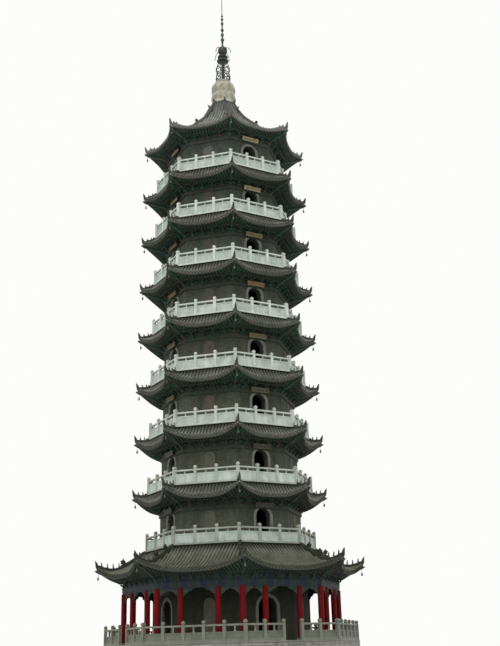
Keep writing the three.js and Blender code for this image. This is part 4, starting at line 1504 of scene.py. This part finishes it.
def bracket_set():
    """Two steps of crossed arms, from the foot up, in the real tower's metres, then halved."""
    solid = Solid()
    block(solid, 0.06, 0, 0.0, 0.26, 0.13)
    arm(solid, (-0.05, -0.05, 0.12), (0.38, 0.05, 0.23), 0.05)
    arm(solid, (0.01, -0.34, 0.12), (0.11, 0.34, 0.23), 0.06)
    block(solid, 0.06, -0.28, 0.23, 0.13, 0.09)
    block(solid, 0.06, 0.28, 0.23, 0.13, 0.09)
    block(solid, 0.31, 0, 0.23, 0.14, 0.09)
    arm(solid, (-0.05, -0.05, 0.31), (0.62, 0.05, 0.41), 0.05)
    arm(solid, (0.26, -0.34, 0.31), (0.36, 0.34, 0.41), 0.06)
    block(solid, 0.31, -0.28, 0.41, 0.12, 0.08)
    block(solid, 0.31, 0.28, 0.41, 0.12, 0.08)
    block(solid, 0.54, 0, 0.41, 0.13, 0.08)
    for vertex in solid.vertices:
        vertex *= HALF
    return solid


one_set = bracket_set()
print("one bracket set has", len(one_set.faces), "faces")

# %% [markdown]
# A set is copied along every side and to every corner, and on the veranda a second one looks
# inwards. Each storey could have a set of its own, but the storeys differ only in the reach and the
# height of their eaves, so the copies are stretched to them.

# %% Bracket sets
BRACKET_HEIGHT = 0.5
BRACKET_REACH = 0.6
BRACKET_PITCH = 0.92 * HALF
BRACKET_FROM_CORNER = 0.2 * HALF
COLUMN_OUT = 7.85 * HALF * APOTHEM


def bracket_set_marks(storey):
    """Sets along each side and at its corner; on the ground storey they look both ways."""
    s = SIZES[storey]
    foot = s["bracket_bottom"]
    plane = s["wall"] if storey > GROUND else COLUMN_OUT
    longer = (s["bracket_out"] - plane) / (BRACKET_REACH * HALF)
    taller = (s["seat"] - foot) / (BRACKET_HEIGHT * HALF)
    marks = []
    for side in range(SIDES):
        for across in spread(plane * SLANT - BRACKET_FROM_CORNER, BRACKET_PITCH):
            place = facing(side) @ Vector((plane, across, foot))
            marks.append(mark(place, side * TURN, (longer, 1, taller)))
            if storey == GROUND:
                marks.append(mark(place, side * TURN + math.pi, (longer, 1, taller)))
        place = facing_corner(side) @ Vector((plane / APOTHEM, 0, foot))
        marks.append(mark(place, (side + 0.5) * TURN, (longer / APOTHEM, 1, taller)))
    return marks


bracket_marks = [a_mark for storey in STOREYS for a_mark in bracket_set_marks(storey)]
bracket_sets = standing("bracket_sets", one_set, bracket_marks, BRACKET)
hand_over(bracket_sets, BRACKET)
print("bracket sets:", len(bracket_marks), "with", len(bracket_sets.data.polygons), "faces")

# %% [markdown]
# Behind the sets runs a painted board, with a round purlin over their outer ends and, on the upper
# storeys, a painted beam at their foot. All of these go straight round the tower, so each is an
# octagonal ring from its section. Together they stand for the plain bracket course.

# %% Boards, purlins and beams behind the brackets
PURLIN_RADIUS = 0.075 * HALF
PURLIN_INSET = 0.08 * HALF
PURLIN_POINTS = 8
BOARD_HALF, BOARD_PROUD = 0.08 * HALF, 0.015 * HALF
BEAM_INTO_WALL, BEAM_PROUD = 0.01, 0.09 * HALF
BEAM_FOOT_BELOW, BEAM_TOP_BELOW = 0.3 * HALF, 0.02 * HALF

for storey in STOREYS:
    s = SIZES[storey]
    foot, seat = s["bracket_bottom"], s["seat"]
    inner, face, paint = COLUMN_OUT - BOARD_HALF, COLUMN_OUT + BOARD_HALF, BEAM
    if storey > GROUND:
        inner, face, paint = s["inner"], s["wall"] + BOARD_PROUD, EAVE_BEAM
    course = Solid()
    course.ring(oblong(inner, face, foot, seat))
    out, high = s["bracket_out"] - PURLIN_INSET, seat - PURLIN_RADIUS
    turns = [2 * math.pi * point / PURLIN_POINTS for point in range(PURLIN_POINTS)]
    course.ring([(out + PURLIN_RADIUS * math.cos(a), high + PURLIN_RADIUS * math.sin(a)) for a in turns])
    if storey > GROUND:
        back, front = s["wall"] - BEAM_INTO_WALL, s["wall"] + BEAM_PROUD
        course.ring(oblong(back, front, foot - BEAM_FOOT_BELOW, foot - BEAM_TOP_BELOW))
    hand_over(course.piece(f"bracket_beams_{storey}"), paint, [f"brackets_{storey}"])
print("beam rings round the storeys:", len(STOREYS))

# %% [markdown]
# The marble balustrades have square posts with bud heads, a ground rail, framed panels, a waisted
# stem in the open gap over each panel, and a handrail. A panel cut with booleans would be slow and
# could leave bad faces, so its sunk fields are written straight into the mesh. They catch a thin
# shadow. Rails and panels are drawn for each bay, and the posts are copies at marks.

# %% Parts of a balustrade
POST_WIDTH, CORNER_POST_WIDTH = 0.21, 0.24
POST_STEPS = [
    (0, 1), (1.06, 1), (1.075, 0.72), (1.115, 0.72), (1.135, 1.02), (1.25, 1.02), (1.3, 0.75),
    (1.33, 0.35),
]
GROUND_RAIL_TOP, HANDRAIL_FOOT, HANDRAIL_TOP = 0.13, 0.95, 1.07
FIELD_DEPTH = 0.025 * HALF
STEM_DEPTH = 0.03 * HALF

# A stem: shares of the gap's height, each with half the stem's width in the same measure
STEM_SECTIONS = ((-0.05, 0.22), (0.35, 0.15), (0.65, 0.12), (1.05, 0.26))


def post(width):
    """A post with a neck and a bud head, about its own axis from the floor up."""
    solid = Solid()
    loops = []
    for height, share in POST_STEPS:
        reach = width / 2 * share
        loops.append(halved([(x, y, height) for x, y in oblong(-reach, reach, -reach, reach)]))
    solid.loft(loops)
    return solid


def framed_panel(solid, out, span, levels, thickness, border, matrix):
    """A slab with a sunk field on both faces; `span` runs across and `levels` up."""
    (y0, y1), (z0, z1) = span, levels
    half = thickness / 2
    outer = oblong(y0, y1, z0, z1)
    inner = oblong(y0 + border, y1 - border, z0 + border, z1 - border)

    # Four corners each: the outline, the rim of the field and its floor, on the front, then the back
    vertices = []
    for face in (1, -1):
        vertices += [(out + face * half, y, z) for y, z in outer]
        vertices += [(out + face * half, y, z) for y, z in inner]
        vertices += [(out + face * (half - FIELD_DEPTH), y, z) for y, z in inner]
    faces = []
    for i in range(4):
        j = (i + 1) % 4
        faces += [(i, j, 4 + j, 4 + i), (4 + i, 4 + j, 8 + j, 8 + i)]
        faces += [(12 + j, 12 + i, 16 + i, 16 + j), (16 + j, 16 + i, 20 + i, 20 + j)]
        faces.append((j, i, 12 + i, 12 + j))
    faces += [(8, 9, 10, 11), (23, 22, 21, 20)]
    solid.add(vertices, faces, matrix)


def bar(solid, out, ends, levels, thickness, soften, matrix):
    """A rail along a side with its two upper edges taken off."""
    half, (low, high) = thickness / 2, levels
    profile = [
        (-half, low), (half, low), (half, high - soften), (half - soften, high),
        (soften - half, high), (-half, high - soften),
    ]
    solid.loft([[(out + x, y, z) for x, z in profile] for y in ends], matrix)


def stem(solid, out, middle, levels, matrix):
    """A waisted stem between the panel and the handrail, wider where the gap is taller."""
    low, high = levels
    loops = []
    for share, reach in STEM_SECTIONS:
        wide, height = reach * (high - low), low + share * (high - low)
        corners = oblong(-STEM_DEPTH, STEM_DEPTH, -wide, wide)
        loops.append([(out + x, middle + y, height) for x, y in corners])
    solid.loft(loops, matrix)


print("posts stand", POST_STEPS[-1][0] * HALF, "m high, handrails", HANDRAIL_TOP * HALF, "m")

# %% [markdown]
# Three bays fill each side of an upper storey. A balustrade that belongs to a quarter of the plan
# takes only the bays and posts in it, and a gate is a middle bay left out on a side with a door.
# Posts, rails and stems make one marble piece, which stands for the plain band, and the panels
# another, because they are painted a little darker, as painted shade between posts and handrail.

# %% Balustrades
DOOR_SIDES = (0, 2, 4, 6)
BAND_TO_MIDDLE = 0.085 * HALF
BALCONY_PANEL_TOP, TERRACE_PANEL_TOP = 0.76, 0.6
INTO_POST = 0.07 * HALF
ON_THE_LINE = 1e-4
BALCONY_BAYS, TERRACE_BAYS = 3, 5
GROUND_RAIL_WIDTH, GROUND_RAIL_SOFT = 0.2 * HALF, 0.02 * HALF
HANDRAIL_WIDTH, HANDRAIL_SOFT = 0.16 * HALF, 0.035 * HALF
PANEL_THICKNESS, PANEL_BORDER = 0.1 * HALF, 0.09 * HALF


def rail_bay(rails, panels, out, ends, floor, panel_top, matrix):
    """Ground rail, panel, stem and handrail between two posts."""
    levels = GROUND_RAIL_TOP, panel_top, HANDRAIL_FOOT, HANDRAIL_TOP
    low, panel_high, rail_low, high = [floor + level * HALF for level in levels]
    bar(rails, out, ends, (floor, low), GROUND_RAIL_WIDTH, GROUND_RAIL_SOFT, matrix)
    bar(rails, out, ends, (rail_low, high), HANDRAIL_WIDTH, HANDRAIL_SOFT, matrix)
    framed_panel(panels, out, ends, (low, panel_high), PANEL_THICKNESS, PANEL_BORDER, matrix)
    middle = ends[0] + (ends[1] - ends[0]) / 2
    stem(rails, out, middle, (panel_high, rail_low), matrix)


def lies_in(place, quarter):
    """Whether a place is in a quarter of the plan, which is given as the signs of X and Y."""
    if quarter is None:
        return True
    x_sign, y_sign = quarter
    return place.x * x_sign > -ON_THE_LINE and place.y * y_sign > -ON_THE_LINE


def balustrade(name, out, bays, floor, panel_top, gates=False, quarter=None):
    """The rails and posts of a balustrade, and its panels, to be handed over apart."""
    half_side = out * SLANT
    rails, panels = Solid(), Solid()
    marks, corner_marks = [], []
    for side in range(SIDES):
        turn = facing(side)
        for bay in range(bays):
            y0, y1 = [(-1 + 2 * (bay + end) / bays) * half_side for end in (0, 1)]
            is_gate = gates and side in DOOR_SIDES and bay == bays // 2
            if lies_in(turn @ Vector((out, (y0 + y1) / 2, 0)), quarter) and not is_gate:
                ends = y0 + INTO_POST, y1 - INTO_POST
                rail_bay(rails, panels, out, ends, floor, panel_top, turn)
        for line in range(1, bays):
            place = turn @ Vector((out, (-1 + 2 * line / bays) * half_side, floor))
            if lies_in(place, quarter):
                marks.append(mark(place, side * TURN))
        place = facing_corner(side) @ Vector((out / APOTHEM, 0, floor))
        if lies_in(place, quarter):
            corner_marks.append(mark(place, (side + 0.5) * TURN))
    parts = [rails.piece(name + " rails")]
    parts.append(standing(name + " posts", post(POST_WIDTH), marks, MARBLE))
    parts.append(standing(name + " corner posts", post(CORNER_POST_WIDTH), corner_marks, MARBLE))
    return parts, panels


for storey in STOREYS[1:]:
    band = f"balustrade_{storey}"
    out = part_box(band)[1][0] - BAND_TO_MIDDLE
    floor = SIZES[storey]["floor"]
    parts, panels = balustrade(band, out, BALCONY_BAYS, floor, BALCONY_PANEL_TOP)
    marble = merge(f"marble_balustrade_{storey}", parts)
    hand_over(marble, MARBLE, [band])
    hand_over(panels.piece(f"marble_panels_{storey}"), SHADED_PANEL_MARBLE)
print("one balustrade has", len(marble.data.polygons), "faces")

# %% [markdown]
# The terrace has the same balustrade in five bays, with the middle bay left open above each flight
# of steps, on a coping of the same stone. The plain solid comes in four lengths, from one gate to
# the next, and so does this one, because each piece stands for one solid.

# %% Terrace balustrade
TERRACE_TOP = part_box("terrace")[1][2]
TERRACE_RAIL_OUT = 9.12 * HALF * APOTHEM
COPING_OUT = 9.3 * HALF * APOTHEM
COPING_WIDTH, COPING_SOFT = 0.5 * HALF, 0.03 * HALF
COPING_LEVELS = -0.14, -0.11, -0.03, 0.0
HALVES_APART = 0.002
QUARTERS = {"front_right": (1, -1), "back_right": (1, 1), "back_left": (-1, 1), "front_left": (-1, -1)}


def coping(quarter):
    """The flat stones under the rail, half a side at a time, mitred at the corners."""
    solid = Solid()
    inner, soft, outer = COPING_OUT - COPING_WIDTH, COPING_OUT - COPING_SOFT, COPING_OUT
    foot, lower, upper, top = COPING_LEVELS
    profile = [(inner, foot), (soft, foot), (outer, lower), (outer, upper), (soft, top), (inner, top)]
    for side in range(SIDES):
        for half in (-1, 1):
            middle = facing(side) @ Vector((outer, half * outer * math.tan(TURN / 4), 0))
            if lies_in(middle, quarter):
                slants = [SLANT * end for end in sorted((HALVES_APART * half, half))]
                loops = [
                    [(out, out * slant, TERRACE_TOP + rise * HALF) for out, rise in profile]
                    for slant in slants
                ]
                solid.loft(loops, facing(side))
    return solid.piece("coping")


for name, quarter in QUARTERS.items():
    levels = TERRACE_TOP, TERRACE_PANEL_TOP
    parts, panels = balustrade(name, TERRACE_RAIL_OUT, TERRACE_BAYS, *levels, True, quarter)
    marble = merge(f"terrace_marble_{name}", [*parts, coping(quarter)])
    hand_over(marble, MARBLE, [f"terrace_rail_{name}"])
    hand_over(panels.piece(f"terrace_panels_{name}"), SHADED_PANEL_MARBLE)
print("one length of the terrace rail has", len(marble.data.polygons), "faces")

# %% [markdown]
# The veranda's columns are round red timbers on drum stones. Each could be a stock cylinder, but a
# real column narrows at its head and its stone swells, so both are turned from an outline and
# copied. A carved brace fills each upper corner between column and beam, and the painted beam over
# them, three boards thick, is a piece of its own.

# %% Veranda columns
VERANDA = ["veranda_front", "veranda_right", "veranda_back", "veranda_left"]
TERRACE_HEIGHT, LINTEL_FOOT, INTO_LINTEL = 1.5, 4.95, 0.04
SHAFT_TOP = LINTEL_FOOT - TERRACE_HEIGHT + INTO_LINTEL
SHAFT = [(0, 0.1), (0.2, 0.1), (0.2, SHAFT_TOP - 0.09), (0.185, SHAFT_TOP), (0, SHAFT_TOP)]
DRUM = [(0, 0), (0.29, 0), (0.31, 0.05), (0.29, 0.1), (0.22, 0.13), (0, 0.13)]
BRACE = [
    (0.1, -0.62), (0.2, -0.6), (0.28, -0.42), (0.42, -0.36), (0.52, -0.22), (0.72, -0.18),
    (0.86, -0.08), (0.95, 0.02), (0.1, 0.02),
]
SHAFT_POINTS, DRUM_POINTS, BRACE_THICKNESS = 20, 16, 0.08 * HALF

# The three boards of the beam: the lowest and the highest one's height, then half of each width
LOWEST_BOARD, HIGHEST_BOARD = 0.12 * HALF, 0.06 * HALF
HALF_WIDTHS = 0.11 * HALF, 0.15 * HALF, 0.19 * HALF

# Places along a side, as shares of half its length; the first stands in the corner
COLUMN_PLACES = (-1.0, -0.44, 0.44)

column, drum, brace, lintel = Solid(), Solid(), Solid(), Solid()
column.lathe(halved(SHAFT), SHAFT_POINTS)
drum.lathe(halved(DRUM), DRUM_POINTS)
brace.slab(halved(BRACE), BRACE_THICKNESS)
column_marks, brace_marks = [], []
for side in range(SIDES):
    for share in COLUMN_PLACES:
        place = facing(side) @ Vector((COLUMN_OUT, share * COLUMN_OUT * SLANT, TERRACE_TOP))
        column_marks.append(mark(place, side * TURN))
        top = place + Vector((0, 0, (LINTEL_FOOT - TERRACE_HEIGHT) * HALF))
        brace_marks.append(mark(top, side * TURN + math.pi / 2))
        previous = side - 1 if share == COLUMN_PLACES[0] else side
        brace_marks.append(mark(top, previous * TURN - math.pi / 2))
columns = standing("columns", column, column_marks, RED)
hand_over(columns, RED, VERANDA, smooth=True)
hand_over(standing("column_stones", drum, column_marks, FRAME_STONE), FRAME_STONE, smooth=True)
hand_over(standing("column_braces", brace, brace_marks, BRACKET), BRACKET)

low, high = LINTEL_FOOT * HALF, SIZES[GROUND]["bracket_bottom"]
levels = [low, low + LOWEST_BOARD, high - HIGHEST_BOARD, high]
for base, top, half in zip(levels, levels[1:], HALF_WIDTHS):
    lintel.ring(oblong(COLUMN_OUT - half, COLUMN_OUT + half, base, top))
hand_over(lintel.piece("veranda_lintel"), BEAM)
print("columns:", len(column_marks), "and braces:", len(brace_marks))

# %% [markdown]
# Each doorway is framed by a band of pale stone that stands a little proud of the brick. The four
# sides without a door carry a plastered blind arch, and a plaque with a gilded frame leans out above
# each doorway. All of them could be cut into the walls, but the walls are solids that stay as they
# are, so these are thin pieces set on them, and each plaque is a plain board.

# %% Door frames, blind panels and plaques
BLIND_SIDES = (1, 3, 5, 7)
FRONT = 6
DOOR_SIZES = {GROUND: (1.5, 2.9)}
UPPER_DOOR_SIZES = 1.15, 2.5
DOOR_BAND = 0.2 * HALF
BEHIND_EDGE = 0.004
FRAME_BACK, FRAME_FRONT = 0.12 * HALF, 0.06 * HALF
FRAME_STEPS, BLIND_STEPS = 14, 12
BLIND_HALF_WIDTH = 0.42 * HALF
BLIND_HEIGHTS = {GROUND: 2.9 * HALF}
UPPER_BLIND_HEIGHT = 2.4 * HALF
BLIND_BACK, BLIND_FRONT = 0.1 * HALF, 0.035 * HALF
PLAQUE_LEAN = math.radians(10)
PLAQUE_OUT, PLAQUE_UNDER_TOP = 0.3 * HALF, 0.06 * HALF
GROUND_PLAQUE_OUT, GROUND_PLAQUE_HEIGHT = 0.12 * HALF, 3.45 * HALF
PLAQUE_HALF_WIDTH, PLAQUE_HALF_HEIGHT = 0.72 * HALF, 0.17 * HALF
PLAQUE_BORDER, PLAQUE_DEPTH, GILT_RISE = 0.07 * HALF, 0.06 * HALF, 0.03 * HALF


def arch_points(half_width, height, steps):
    """Points from the left foot over an arch to the right foot."""
    points = [(-half_width, 0.0)]
    for step_index in range(steps + 1):
        turn = math.pi * (1 - step_index / steps)
        points.append((half_width * math.cos(turn), height - half_width + half_width * math.sin(turn)))
    points.append((half_width, 0.0))
    return points


def arch_band(solid, inner, outer, back, front, floor, matrix):
    """The band between two arches of the same number of points."""
    loops = []
    for (y0, z0), (y1, z1) in zip(inner, outer):
        low, high = floor + z0, floor + z1
        loops.append([(back, y0, low), (front, y0, low), (front, y1, high), (back, y1, high)])
    solid.loft(loops, matrix)


def plaque(boards, gilt, matrix):
    """A board about the origin, facing +X, with a raised frame round its front."""
    wide, tall, border = PLAQUE_HALF_WIDTH, PLAQUE_HALF_HEIGHT, PLAQUE_BORDER
    board_wide, board_tall = wide - border / 2, tall - border / 2
    boards.box((-PLAQUE_DEPTH, -board_wide, -board_tall), (0, board_wide, board_tall), matrix)
    inner = tall - border
    for low, high in ((-tall, -inner), (inner, tall)):
        gilt.box((-PLAQUE_DEPTH, -wide, low), (GILT_RISE, wide, high), matrix)
    for low, high in ((-wide, border - wide), (wide - border, wide)):
        gilt.box((-PLAQUE_DEPTH, low, -inner), (GILT_RISE, high, inner), matrix)


frames, panels, boards = Solid(), Solid(), Solid()
gilding = {side: Solid() for side in DOOR_SIDES}
for storey in STOREYS:
    s = SIZES[storey]
    wall, floor = s["wall"], s["floor"]
    wide, tall = DOOR_SIZES.get(storey, UPPER_DOOR_SIZES)
    half, tall = wide / 2 * HALF, tall * HALF
    inner = arch_points(half - BEHIND_EDGE, tall - BEHIND_EDGE, FRAME_STEPS)
    outer = arch_points(half + DOOR_BAND, tall + DOOR_BAND, FRAME_STEPS)
    back, front = wall - FRAME_BACK, wall + FRAME_FRONT
    place = wall + PLAQUE_OUT, 0, s["wall_top"] - PLAQUE_UNDER_TOP
    if storey == GROUND:
        place = wall + GROUND_PLAQUE_OUT, 0, floor + GROUND_PLAQUE_HEIGHT
    leaning = Matrix.Translation(place) @ Matrix.Rotation(PLAQUE_LEAN, 4, "Y")
    for side in DOOR_SIDES:
        arch_band(frames, inner, outer, back, front, floor, facing(side))
        plaque(boards, gilding[side], facing(side) @ leaning)
    tall = BLIND_HEIGHTS.get(storey, UPPER_BLIND_HEIGHT)
    blind = arch_points(BLIND_HALF_WIDTH, tall, BLIND_STEPS)
    depths = wall - BLIND_BACK, wall + BLIND_FRONT
    loops = [[(out, y, floor + z) for y, z in blind] for out in depths]
    for side in BLIND_SIDES:
        panels.loft(loops, facing(side))
hand_over(frames.piece("door_frames"), FRAME_STONE, smooth=True)
hand_over(panels.piece("blind_panels"), PANEL_STONE)
hand_over(boards.piece("plaque_boards"), PLAQUE)
# Frames off the front get the darker gilding: painted shade.
for side, gilt in gilding.items():
    hand_over(gilt.piece(f"plaque_frames_{side}"), GOLD if side == FRONT else SHADED_GOLD)
print("doorways:", len(STOREYS) * len(DOOR_SIDES), "and blind arches:", len(STOREYS) * len(BLIND_SIDES))

# %% [markdown]
# The spire stands on a stone drum in two tiers of rounded petals. Turned on a lathe it would have
# no petals, so each ring of the drum pulls in between them. The beaded mast over it is turned from
# a plain outline, up to the thin rod at its end.

# %% Drum and mast
PETALS = 11
POINTS_PER_PETAL = 6
GROOVE_POWER = 0.5
MAST_POINTS = 16

# Rings of the drum: radius, height, depth of the grooves between the petals, and their shift
DRUM_ROWS = [
    (1.0, 45.6, 0, 0), (1.09, 45.72, 0, 0), (1.13, 45.88, 0, 0), (1.09, 46.05, 0, 0), (1.0, 46.16, 0, 0),
    (0.97, 46.26, 0.04, 0), (1.04, 46.45, 0.12, 0), (1.08, 46.7, 0.15, 0), (1.05, 46.92, 0.1, 0),
    (0.97, 47.04, 0.02, 0), (0.94, 47.1, 0, 0), (0.98, 47.18, 0.03, 0.5), (1.05, 47.4, 0.11, 0.5),
    (1.06, 47.65, 0.15, 0.5), (1.0, 47.88, 0.13, 0.5), (0.88, 48.06, 0.05, 0.5), (0.72, 48.14, 0, 0),
    (0.68, 48.18, 0, 0), (0.73, 48.24, 0, 0), (0.72, 48.32, 0, 0),
]
MAST = [
    (0, 48.3), (0.16, 48.3), (0.13, 48.8), (0.13, 50.3), (0.2, 50.42), (0.5, 50.55), (0.53, 50.64),
    (0.48, 50.72), (0.2, 50.8), (0.2, 50.86), (0.42, 50.94), (0.47, 51.02), (0.42, 51.09), (0.14, 51.16),
    (0.12, 51.26), (0.28, 51.34), (0.39, 51.5), (0.43, 51.7), (0.39, 51.9), (0.26, 52.05), (0.1, 52.12),
    (0.08, 52.4), (0.1, 52.7), (0.16, 52.8), (0.17, 52.9), (0.1, 53.02), (0.07, 53.2), (0.14, 53.34),
    (0.14, 53.46), (0.06, 53.6), (0.06, 53.75), (0.14, 53.84), (0.14, 53.96), (0.06, 54.1), (0.07, 54.45),
    (0.13, 54.56), (0.13, 54.66), (0.05, 54.8), (0.05, 54.92), (0.12, 55.0), (0.12, 55.1), (0.05, 55.2),
    (0.05, 55.3), (0.11, 55.4), (0.05, 55.52), (0.035, 55.7), (0.028, 57.195), (0, 57.195),
]


def petal_ring(radius, height, groove, shift):
    """One ring of the drum, in the real tower's metres."""
    points = []
    for point in range(PETALS * POINTS_PER_PETAL):
        turn = point / (PETALS * POINTS_PER_PETAL) * 2 * math.pi
        bulge = abs(math.sin(turn * PETALS / 2 + shift * math.pi / 2)) ** GROOVE_POWER
        depth = groove * (1 - bulge)
        points.append(((radius - depth) * math.cos(turn), (radius - depth) * math.sin(turn), height))
    return points


drum_stone, mast = Solid(), Solid()
drum_stone.loft([halved(petal_ring(*row)) for row in DRUM_ROWS])
hand_over(drum_stone.piece("lotus_drum"), DRUM_STONE, ["spire_drum"], smooth=True)
mast.lathe(halved(MAST), MAST_POINTS)
hand_over(mast.piece("beaded_mast"), BRONZE, ["spire_mast"], smooth=True)

# %% [markdown]
# A bronze cage surrounds the foot of the mast: eight curved ribs, three hoops, and small rings
# between the ribs, with four curved arms under the ball. It is all of one thin rod, so the whole
# cage is a set of paths for the same sweep that makes the tiles.

# %% Bronze cage
CAGE_ROD, ROD_POINTS = 0.06 * HALF, 6
RING_POINTS, HOOP_POINTS = 12, 32
RIB = [
    (0.6, 48.3), (0.66, 48.6), (0.67, 48.9), (0.58, 49.18), (0.52, 49.34), (0.6, 49.5), (0.62, 49.75),
    (0.54, 50.0), (0.44, 50.28),
]
ARM = [(0.36, 51.86), (0.58, 51.8), (0.78, 51.6), (0.9, 51.3), (0.93, 51.1)]
HOOPS = [(0.62, 48.38), (0.54, 49.34), (0.46, 50.24)]
SMALL_RINGS = [(48.62, 0.15), (48.98, 0.15), (49.72, 0.14)]
SMALL_RING_OUT = 0.6


def turns_of(points):
    """Angles of a closed path; the last point lies on the first."""
    return [point / points * 2 * math.pi for point in range(points + 1)]


def small_ring(middle, centre, radius):
    """A ring bent round the mast, between two ribs."""
    path = []
    for turn in turns_of(RING_POINTS):
        angle = middle + radius * math.cos(turn) / SMALL_RING_OUT
        x, y = SMALL_RING_OUT * math.cos(angle), SMALL_RING_OUT * math.sin(angle)
        path.append(Vector((x, y, centre + radius * math.sin(turn))) * HALF)
    return path


rod_paths = []
for rib in range(SIDES):
    rod_paths.append([facing(rib) @ Vector((out, 0, height)) for out, height in halved(RIB)])
    if rib % 2 == 0:
        rod_paths.append([facing_corner(rib) @ Vector((out, 0, height)) for out, height in halved(ARM)])
    rod_paths += [small_ring((rib + 0.5) * TURN, *ring) for ring in SMALL_RINGS]
for radius, height in HOOPS:
    hoop = [(radius * math.cos(a), radius * math.sin(a), height) for a in turns_of(HOOP_POINTS)]
    rod_paths.append([Vector(point) * HALF for point in hoop])
cage = swept("bronze_cage", rod_paths, BRONZE, CAGE_ROD, ROD_POINTS)
hand_over(cage, BRONZE, ["spire_cage"], smooth=True)
print("rods in the cage:", len(rod_paths))

# %% [markdown]
# The camera stands where the photograph was taken from: low, beyond one corner, looking up. Its
# place and tilt come from the tower's own corners, and its lens from how fast the storeys shrink.
# A shifted lens could keep the tower upright, but the photograph was tilted, so the camera is too.

# %% Camera
PHOTO_HEIGHT = 646
FOCAL_PIXELS = 945.07
SENSOR_WIDTH = 36
FARTHEST_SEEN = 300
CAMERA_DISTANCE = 71.945 * HALF
CAMERA_HEIGHT = 0.85 * HALF
CAMERA_BEARING = math.radians(27.5346)
CAMERA_YAW = math.radians(1.4472)
CAMERA_PITCH = math.radians(19.175)
CAMERA_ROLL = math.radians(-1.4997)

camera_data = bpy.data.cameras.new("camera")
camera_data.sensor_fit = "AUTO"
camera_data.sensor_width = SENSOR_WIDTH
camera_data.lens = FOCAL_PIXELS * SENSOR_WIDTH / PHOTO_HEIGHT
camera_data.clip_end = FARTHEST_SEEN
camera = bpy.data.objects.new("camera", camera_data)
bpy.context.scene.collection.objects.link(camera)
bpy.context.scene.camera = camera
spot = Vector((-math.sin(CAMERA_BEARING), -math.cos(CAMERA_BEARING), 0)) * CAMERA_DISTANCE
spot.z = CAMERA_HEIGHT
ahead = Matrix.Rotation(-CAMERA_YAW, 3, "Z") @ -Vector((spot.x, spot.y, 0)).normalized()
right = ahead.cross(Vector((0, 0, 1)))
look = (Matrix.Rotation(CAMERA_PITCH, 3, right) @ ahead).normalized()
above = right.cross(look)
right, above = (
    math.cos(CAMERA_ROLL) * right + math.sin(CAMERA_ROLL) * above,
    math.cos(CAMERA_ROLL) * above - math.sin(CAMERA_ROLL) * right,
)
camera.matrix_world = Matrix((
    (right.x, above.x, -look.x, spot.x),
    (right.y, above.y, -look.y, spot.y),
    (right.z, above.z, -look.z, spot.z),
    (0, 0, 0, 1),
))
print("camera at", tuple(round(v, 2) for v in spot))

# %% [markdown]
# The tower stands on a plain pale floor under soft light. Most of it comes from an even pale world,
# which leaves the undersides of the eaves dark, as an overcast sky does. One weak, broad sun, half
# way up the sky behind the camera and a little to its left, gives the walls and tiles some shape. A
# strong lamp would draw hard shadows that the photograph doesn't have.

# %% Floor and light
FLOOR_REACH = 400
FLOOR_COLOUR = 0.55, 0.54, 0.52, 1
SUN_STRENGTH = 0.8
SUN_BREADTH, SUN_ELEVATION, SUN_BEARING = math.radians(40), math.radians(50), math.radians(-42)

corners = oblong(-FLOOR_REACH, FLOOR_REACH, -FLOOR_REACH, FLOOR_REACH)
floor = mesh_piece("studio_floor", [(x, y, 0) for x, y in corners], [(0, 1, 2, 3)])
pale = Nodes("pale floor")
pale.shader.inputs["Base Color"].default_value = FLOOR_COLOUR
pale.shader.inputs["Roughness"].default_value = 0.9
floor.data.materials.append(pale.material)

world = bpy.data.worlds.new("pale world")
world.use_nodes = True
background = world.node_tree.nodes["Background"]
background.inputs["Color"].default_value = (0.98, 0.98, 0.965, 1)
background.inputs["Strength"].default_value = 1.0
bpy.context.scene.world = world
bpy.context.scene.view_settings.view_transform = "Standard"

light = bpy.data.lights.new("soft sun", "SUN")
light.energy = SUN_STRENGTH
light.angle = SUN_BREADTH
light.color = (1.0, 0.98, 0.95)
sun = bpy.data.objects.new("soft sun", light)
bpy.context.scene.collection.objects.link(sun)
sun.rotation_euler = (math.pi / 2 - SUN_ELEVATION, 0, SUN_BEARING)
print("floor reaches", FLOOR_REACH, "m each way from the tower")

# %% [markdown]
